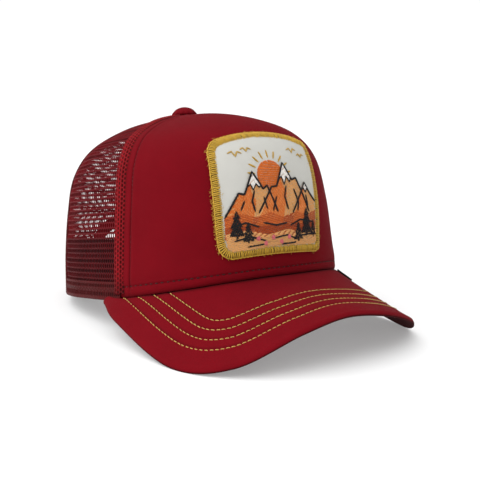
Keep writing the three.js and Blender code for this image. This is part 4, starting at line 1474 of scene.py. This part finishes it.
def patch_border():
    line, outward, total = patch_outline(border_width / 2)
    count = len(line)

    def at(way, aside):
        place = (way / total * count) % count
        low = place.astype(int)
        part = (place - low)[..., None]
        point = line[low % count] * (1 - part) + line[(low + 1) % count] * part
        away = outward[low % count] * (1 - part) + outward[(low + 1) % count] * part
        return point + away * aside[..., None]

    turn = np.linspace(0, np.pi, 15)
    half = border_width / 2 - 0.45
    steps_round = np.arange(count)[:, None] * total / count
    core = at(steps_round + 0 * turn, 0 * steps_round - half * np.cos(turn))
    height = 0.1 + (border_height - 1.1) * np.sin(turn) + 0 * steps_round
    outer = patch_point(core[..., 0], core[..., 1], height)
    quads = grid_quads(count, len(turn))
    index = np.arange(count * len(turn)).reshape(count, len(turn))
    joined = np.stack([index[-1, :-1], index[-1, 1:], index[0, 1:], index[0, :-1]], -1)
    under = np.stack([index[:, 0], index[:, -1], np.roll(index[:, -1], -1), np.roll(index[:, 0], -1)], -1)
    cloth = np.stack(np.broadcast_arrays(steps_round, turn), -1)
    faces = np.concatenate([quads, joined, under[:, ::-1]])[:, ::-1]
    # The core under the loops is painted nearly black: the shade in the gaps between them.
    parts = [(outer.reshape(-1, 3), [faces], cloth.reshape(-1, 2), 0.12)]
    # Thick loops over the border, side by side with dark gaps between them.
    loops = int(total / border_pitch)
    starts = np.arange(loops)[:, None] * total / loops
    bend = np.linspace(0.02, 0.98, 11) * np.pi
    for strand in (-0.58, 0.58):
        lean = 0.9 + 0.2 * random.standard_normal((loops, 1))
        way = starts + strand + lean * (bend / np.pi - 0.5) + 0.07 * random.standard_normal((loops, 1))
        wide = border_width / 2 - 0.5 + 0.14 * random.standard_normal((loops, 1))
        tall = border_height - 0.55 + 0.1 * random.standard_normal((loops, 1))
        rise = 0.25 + tall * np.sin(bend) ** 0.8
        radius = 0.42 + 0.03 * random.standard_normal(loops)
        parts.append(patch_threads(at(way, -wide * np.cos(bend)), rise, radius, 0.95))
    # A braided chain of short threads along the outer edge.
    begin = starts + border_pitch / 2
    along = begin + np.linspace(0, border_pitch * 1.25, 6)
    arch = arched(6)
    bulge = border_width / 2 - 0.35 + 0.3 * arch + 0 * along
    parts.append(patch_threads(at(along, bulge), 0.5 + 0.45 * arch + 0 * along, 0.46, 1.0))
    make_piece("patch_border", join_parts(parts), gold_thread, ["patch_border"])
    border_fray(at, total)


def border_fray(at, total):
    """Fine loose fibres, most of them low on the side to the wearer's right."""
    frayed = 0.44 * total
    many = np.concatenate([frayed + 10 * random.standard_normal(110), random.random(60) * total])
    side = np.where(random.random(len(many)) < 0.75, 1, -1)
    steps = np.linspace(0, 1, 7)
    drift = 1.6 * random.standard_normal((len(many), 1))
    way = many[:, None] + drift * steps
    reach = (0.6 + 1.8 * random.random((len(many), 1))) * steps
    aside = side[:, None] * (border_width / 2 - 0.3 + reach)
    curl = 0.8 * random.random((len(many), 1)) * np.sin(steps * np.pi) + 0.6
    body = patch_threads(at(way, aside), curl, 0.1, sides=4)
    make_piece("border_fray", body, gold_thread)


def fill_polygon(corners, slope, spacing=0.5, length=3.6):
    """Rows of stitches with ragged ends, at a slope in degrees, that fill a polygon."""
    ragged = 0.35
    corners = np.asarray(corners, float)
    angle = math.radians(slope)
    turned = np.array([[math.cos(angle), math.sin(angle)], [-math.sin(angle), math.cos(angle)]])
    local = corners @ turned.T
    starts, ends = [], []
    following = np.roll(local, -1, 0)
    levels = np.arange(local[:, 1].min() + spacing / 2, local[:, 1].max(), spacing)
    for number, level in enumerate(levels):
        crossing = (local[:, 1] <= level) != (following[:, 1] <= level)
        a, b = local[crossing], following[crossing]
        cuts = np.sort(a[:, 0] + (level - a[:, 1]) / (b[:, 1] - a[:, 1]) * (b[:, 0] - a[:, 0]))
        for left, right in cuts.reshape(-1, 2):
            offset = (number * 0.37 % 1) * length
            joints = np.arange(left - offset, right, length)
            for joint in joints:
                low = max(left, joint) + ragged * (random.random() - 0.5)
                high = min(right, joint + length) + ragged * (random.random() - 0.5)
                if high - low > 0.6:
                    starts.append((low, level))
                    ends.append((high, level))
    wobble = 0.06 * random.standard_normal((len(starts), 2))
    return np.array(starts) @ turned + wobble, np.array(ends) @ turned - wobble


satin_pitch = 0.46
satin_lean = 0.35


def satin_line(points, width):
    """Short stitches across a line of points, close together, so that they make a raised cord."""
    points = np.asarray(points, float)
    way = way_along(points)

    def along(places):
        return np.stack([np.interp(places, way, points[:, 0]), np.interp(places, way, points[:, 1])], -1)

    places = np.arange(0, way[-1], satin_pitch)
    middle = along(places)
    forward = unit(along(places + 0.3) - along(places - 0.3))
    side = np.stack([-forward[:, 1], forward[:, 0]], -1)
    ends = np.minimum(places, way[-1] - places)
    half = width / 2 * np.minimum(1, 0.35 + ends / width * 0.8)[:, None]
    half = half * (1 + 0.12 * random.standard_normal((len(places), 1)))
    reach = side * half + forward * satin_lean
    return middle - reach, middle + reach


def embroider(name, thread, stitches, layer):
    """One piece of embroidery from the starts and ends of stitches, on its own layer above the ground."""
    share = np.linspace(0, 1, 5)[:, None]
    parts = []
    for start, end in stitches:
        path = start[:, None] + (end - start)[:, None] * share
        height = patch_ground_wall + 0.02 + layer + 0.26 * arched(5, 0.5) + 0 * path[..., 0]
        parts.append(patch_threads(path, height, 0.3, 0.75, sides=4))
    make_piece(name, join_parts(parts), thread)


def ring(centre, radius, count=28):
    angle = np.linspace(0, 2 * np.pi, count)
    return np.stack([centre[0] + radius * np.cos(angle), centre[1] + radius * np.sin(angle)], -1)


def pine(foot, tall, wide):
    """Outline of a pine with three tiers."""
    x, y = foot
    levels = [(0.1, 1.0), (0.42, 0.5), (0.42, 0.78), (0.7, 0.32), (0.7, 0.52), (1.0, 0.0)]
    right = [(x + wide / 2 * part, y + tall * high) for high, part in levels]
    left = [(x - wide / 2 * part, y + tall * high) for high, part in reversed(levels[:-1])]
    half = wide * 0.08
    top = y + tall * 0.1
    trunk = [(x - half, top), (x - half, y), (x + half, y), (x + half, top)]
    return trunk + right + left


def patch_art():
    """A made-up mountain scene: a sun, three peaks with snow, striped foothills, pines and flowers."""
    orange = spun("orange_thread", rgb("cf6b26"), roughness=0.45)
    tan = spun("tan_thread", rgb("dca467"), roughness=0.45)
    white = spun("white_thread", rgb("e6e2dc"), roughness=0.45, tone_and_shade_spread=0.1)
    pink = spun("pink_thread", rgb("cf6a70"), roughness=0.45)
    rust = spun("rust_thread", rgb("a9481c"), roughness=0.45)
    sun_at = (-1.0, 13.0)
    base = -17
    crests = {
        "left": [(-33.4, -11), (-24, 3), (-20.5, 2), (-14, 15.5), (-8, 5), (-5, 7), (1.5, -9)],
        "middle": [(-12, -9), (-2, 6), (2, 6.5), (8.5, 20.5), (14, 10), (17.5, 11), (27, -10)],
        "right": [(13, -10), (20, 1), (24.5, 8), (29, 1), (33.4, -4)],
    }
    peaks = [[*crest, (crest[-1][0], base), (crest[0][0], base)] for crest in crests.values()]
    lit = {
        "left": [
            (-14, 15.5), (-16, 4), (-13, -2), (-17, -17), (-33.4, -17), (-33.4, -11), (-24, 3), (-20.5, 2),
        ],
        "middle": [(8.5, 20.5), (6, 9), (9.5, 3), (5, -17), (-14, -17), (-2, 6), (2, 6.5)],
        "right": [(24.5, 8), (23, 0), (25, -5), (22, -17), (12, -17), (20, 1)],
    }
    snow = {
        "left": [(-14, 15.5), (-18.4, 6.4), (-16, 8), (-14.6, 4.6), (-12.4, 8.2), (-10.6, 6), (-9.3, 7.4)],
        "middle": [(8.5, 20.5), (3.6, 9.9), (6.2, 12.2), (7.8, 7.2), (10, 12), (12.2, 8.6), (13.2, 11.6)],
        "right": [(24.5, 8), (21.4, 3.2), (23.4, 4.4), (24.8, 1.8), (26.2, 4.2), (27.6, 3.2)],
    }
    foothills = [
        (-33.7, -11), (-24, -9), (-14, -11.5), (-4, -9), (6, -12), (16, -9.5), (25, -11.5), (33.7, -9.5),
        (33.7, -24), (22, -24), (-22, -24), (-33.7, -24),
    ]
    meadow = [
        (-33.7, -21), (-20, -19), (-6, -22.5), (8, -20), (22, -22.5), (33.7, -20),
        (33.3, -29), (31, -30.6), (0, -29.8), (-29.5, -31.2), (-32.4, -29),
    ]
    embroider("embroidery_sun", orange, [fill_polygon(ring(sun_at, 9.6), 20)], 0.0)
    rays = []
    for angle in np.radians(np.arange(8, 180, 20.5)):
        ends = np.array([[11.2], [15.5]]) * [math.cos(angle), math.sin(angle)]
        rays.append(satin_line(sun_at + ends, 1.1))
    embroider("embroidery_rays", gold_thread, rays, 0.0)
    embroider("embroidery_shaded_slopes", tan, [fill_polygon(shape, -58) for shape in peaks], 0.12)
    embroider("embroidery_lit_slopes", orange, [fill_polygon(shape, 62) for shape in lit.values()], 0.3)
    embroider("embroidery_snow", white, [fill_polygon(shape, 80) for shape in snow.values()], 0.5)
    embroider("embroidery_foothills", rust, [fill_polygon(foothills, 4)], 0.34)
    embroider("embroidery_meadow", tan, [fill_polygon(meadow, -6)], 0.5)
    lines = []
    for crest in crests.values():
        lines.append(satin_line(crest, 1.25))
    for shape in snow.values():
        lines.append(satin_line(shape[1:], 0.7))
    ridges = [
        [(-14, 4), (-16, -2), (-14.5, -8)],
        [(-21, -2), (-23.5, -7)],
        [(-8, 0), (-6, -7)],
        [(9, 6), (7.2, 0), (9.5, -8)],
        [(1, 0), (-2, -8)],
        [(15, 4), (18, -4), (17, -9)],
        [(25, 0), (26, -7)],
        [(-30, -17), (-21, -14.5), (-12, -17.5)],
        [(-9, -15), (0, -17), (8, -16)],
        [(11, -17.5), (19, -14.5), (30, -16.5)],
        [(-28, -25), (-18, -23), (-8, -26)],
        [(-3, -25), (8, -23.5), (16, -26.5)],
        [(19, -24.5), (29, -24)],
        [(-20, -29), (-9, -28)],
        [(4, -29), (15, -28.5)],
    ]
    for line in ridges:
        lines.append(satin_line(line, 1.15))
    embroider("embroidery_outlines", black_thread, lines, 0.72)
    # Foot, height and width of each pine
    pines = [
        ((-26.5, -24), 17, 9.5),
        ((-19.5, -27), 13, 8),
        ((24, -25), 18, 10),
        ((17, -28), 12.5, 7.5),
        ((30.2, -26), 11, 5.5),
    ]
    trees = []
    for number, place in enumerate(pines):
        slope = 88 if number % 2 else 92
        trees.append(fill_polygon(pine(*place), slope, length=3.0))
    embroider("embroidery_pines", black_thread, trees, 0.86)
    flowers = [(-8, -27.5), (-2.5, -24.2), (3.6, -27.2), (9.6, -24.6), (-13, -24.4)]
    petals = [fill_polygon(ring(place, 1.5, 12), 35, 0.45) for place in flowers]
    embroider("embroidery_flowers", pink, petals, 0.95)
    birds = []
    for x, y, size in ((-22, 25.5, 4.2), (-14.5, 28.3, 3.2), (19, 27, 3.8), (26, 24, 3.0)):
        left = [(x - size, y + size * 0.5), (x - size * 0.4, y + size * 0.75), (x, y)]
        right = [(x, y), (x + size * 0.45, y + size * 0.7), (x + size, y + size * 0.4)]
        birds += [satin_line(wing, 0.9) for wing in (left, right)]
    embroider("embroidery_birds", khaki_thread, birds, 0.05)


patch_ground()
patch_border()
patch_art()


# Stage: a pale floor, an even sky and soft lamps.
floor_glow = 0.26
floor_greys = (0.61, 0.63)
floor_reach = 6.0
horizon_level = 1.03
sky_level = 0.3
front_level = 0.9
zenith_level = 1.2


def floor():
    mesh = bpy.data.meshes.new("floor")
    sides = [(-1, -1), (1, -1), (1, 1), (-1, 1)]
    corners = [(x * floor_reach, y * floor_reach, 0) for x, y in sides]
    mesh.from_pydata(corners, [], [(0, 1, 2, 3)])
    shader = Shader("pale_floor")
    surface = shader.surface
    position = shader.add("NewGeometry").outputs["Position"]
    cloud = shader.add("TexNoise", {"Vector": position, "Scale": 9.0, "Detail": 4.0}).outputs[0]
    greys = [(level, level, level, 1) for level in floor_greys]
    shader.feed(surface.inputs["Base Color"], shader.mix(cloud, *greys))
    surface.inputs["Roughness"].default_value = 0.8
    surface.inputs["Specular IOR Level"].default_value = 0.1
    # A little light of its own keeps the shadows pale, as on a lit table.
    surface.inputs["Emission Color"].default_value = (1, 1, 1, 1)
    surface.inputs["Emission Strength"].default_value = floor_glow
    mesh.materials.append(shader.material)
    ground = bpy.data.objects.new("floor", mesh)
    bpy.context.scene.collection.objects.link(ground)


def sky():
    world = bpy.data.worlds.new("studio")
    world.use_nodes = True
    tree = world.node_tree
    background = tree.nodes["Background"]
    background.inputs["Color"].default_value = (1, 1, 1, 1)
    direction = tree.nodes.new("ShaderNodeTexCoord").outputs["Generated"]

    def lobe(towards, start, end, level):
        """Brightness that grows from nothing to a level as the direction turns towards a given one."""
        dot = tree.nodes.new("ShaderNodeVectorMath")
        dot.operation = "DOT_PRODUCT"
        tree.links.new(direction, dot.inputs[0])
        dot.inputs[1].default_value = Vector(towards).normalized()
        part = tree.nodes.new("ShaderNodeMapRange")
        part.interpolation_type = "SMOOTHSTEP"
        tree.links.new(dot.outputs["Value"], part.inputs["Value"])
        for number, value in enumerate((start, end, 0.0, level), 1):
            part.inputs[number].default_value = value
        return part.outputs[0]

    lobes = [
        lobe((0, 0, -1), -0.3, -0.12, horizon_level - sky_level),
        lobe((-0.53, -0.73, 0.45), 0.6, 1.0, front_level),
        lobe((0, 0, 1), 0.55, 0.95, zenith_level),
    ]
    total = None
    for part in lobes:
        add = tree.nodes.new("ShaderNodeMath")
        tree.links.new(part, add.inputs[0])
        add.inputs[1].default_value = sky_level
        if total is not None:
            tree.links.new(total, add.inputs[1])
        total = add.outputs[0]
    tree.links.new(total, background.inputs["Strength"])
    bpy.context.scene.world = world


def lamp(name, place, energy, size):
    """Sun shining towards the cap, with soft edges to its shadows."""
    data = bpy.data.lights.new(name, "SUN")
    data.energy = energy
    data.angle = math.radians(size)
    light = bpy.data.objects.new(name, data)
    light.location = place
    light.rotation_euler = (-Vector(place)).to_track_quat("-Z", "Y").to_euler()
    bpy.context.scene.collection.objects.link(light)


camera_place = Vector((-0.32165, -0.47, 0.14838))
camera_azimuth = math.radians(-35.721)
camera_elevation = math.radians(9.601)
camera_roll = math.radians(1.862)
camera_lens = 63.53


def camera():
    a, e, r = camera_azimuth, camera_elevation, camera_roll
    back = Vector((math.sin(a) * math.cos(e), -math.cos(a) * math.cos(e), math.sin(e)))
    level = Vector((math.cos(a), math.sin(a), 0))
    upright = back.cross(level)
    right = level * math.cos(r) + upright * math.sin(r)
    up = back.cross(right)
    data = bpy.data.cameras.new("camera")
    data.lens = camera_lens
    data.sensor_width = 36
    data.clip_start = 0.01
    view = bpy.data.objects.new("camera", data)
    view.matrix_world = Matrix.Translation(camera_place) @ Matrix((right, up, back)).transposed().to_4x4()
    bpy.context.scene.collection.objects.link(view)
    bpy.context.scene.camera = view


floor()
sky()
lamp("left_key", (-0.74, 0.2, 0.66), 2.3, 75)
camera()
bpy.context.scene.view_settings.view_transform = "Standard"
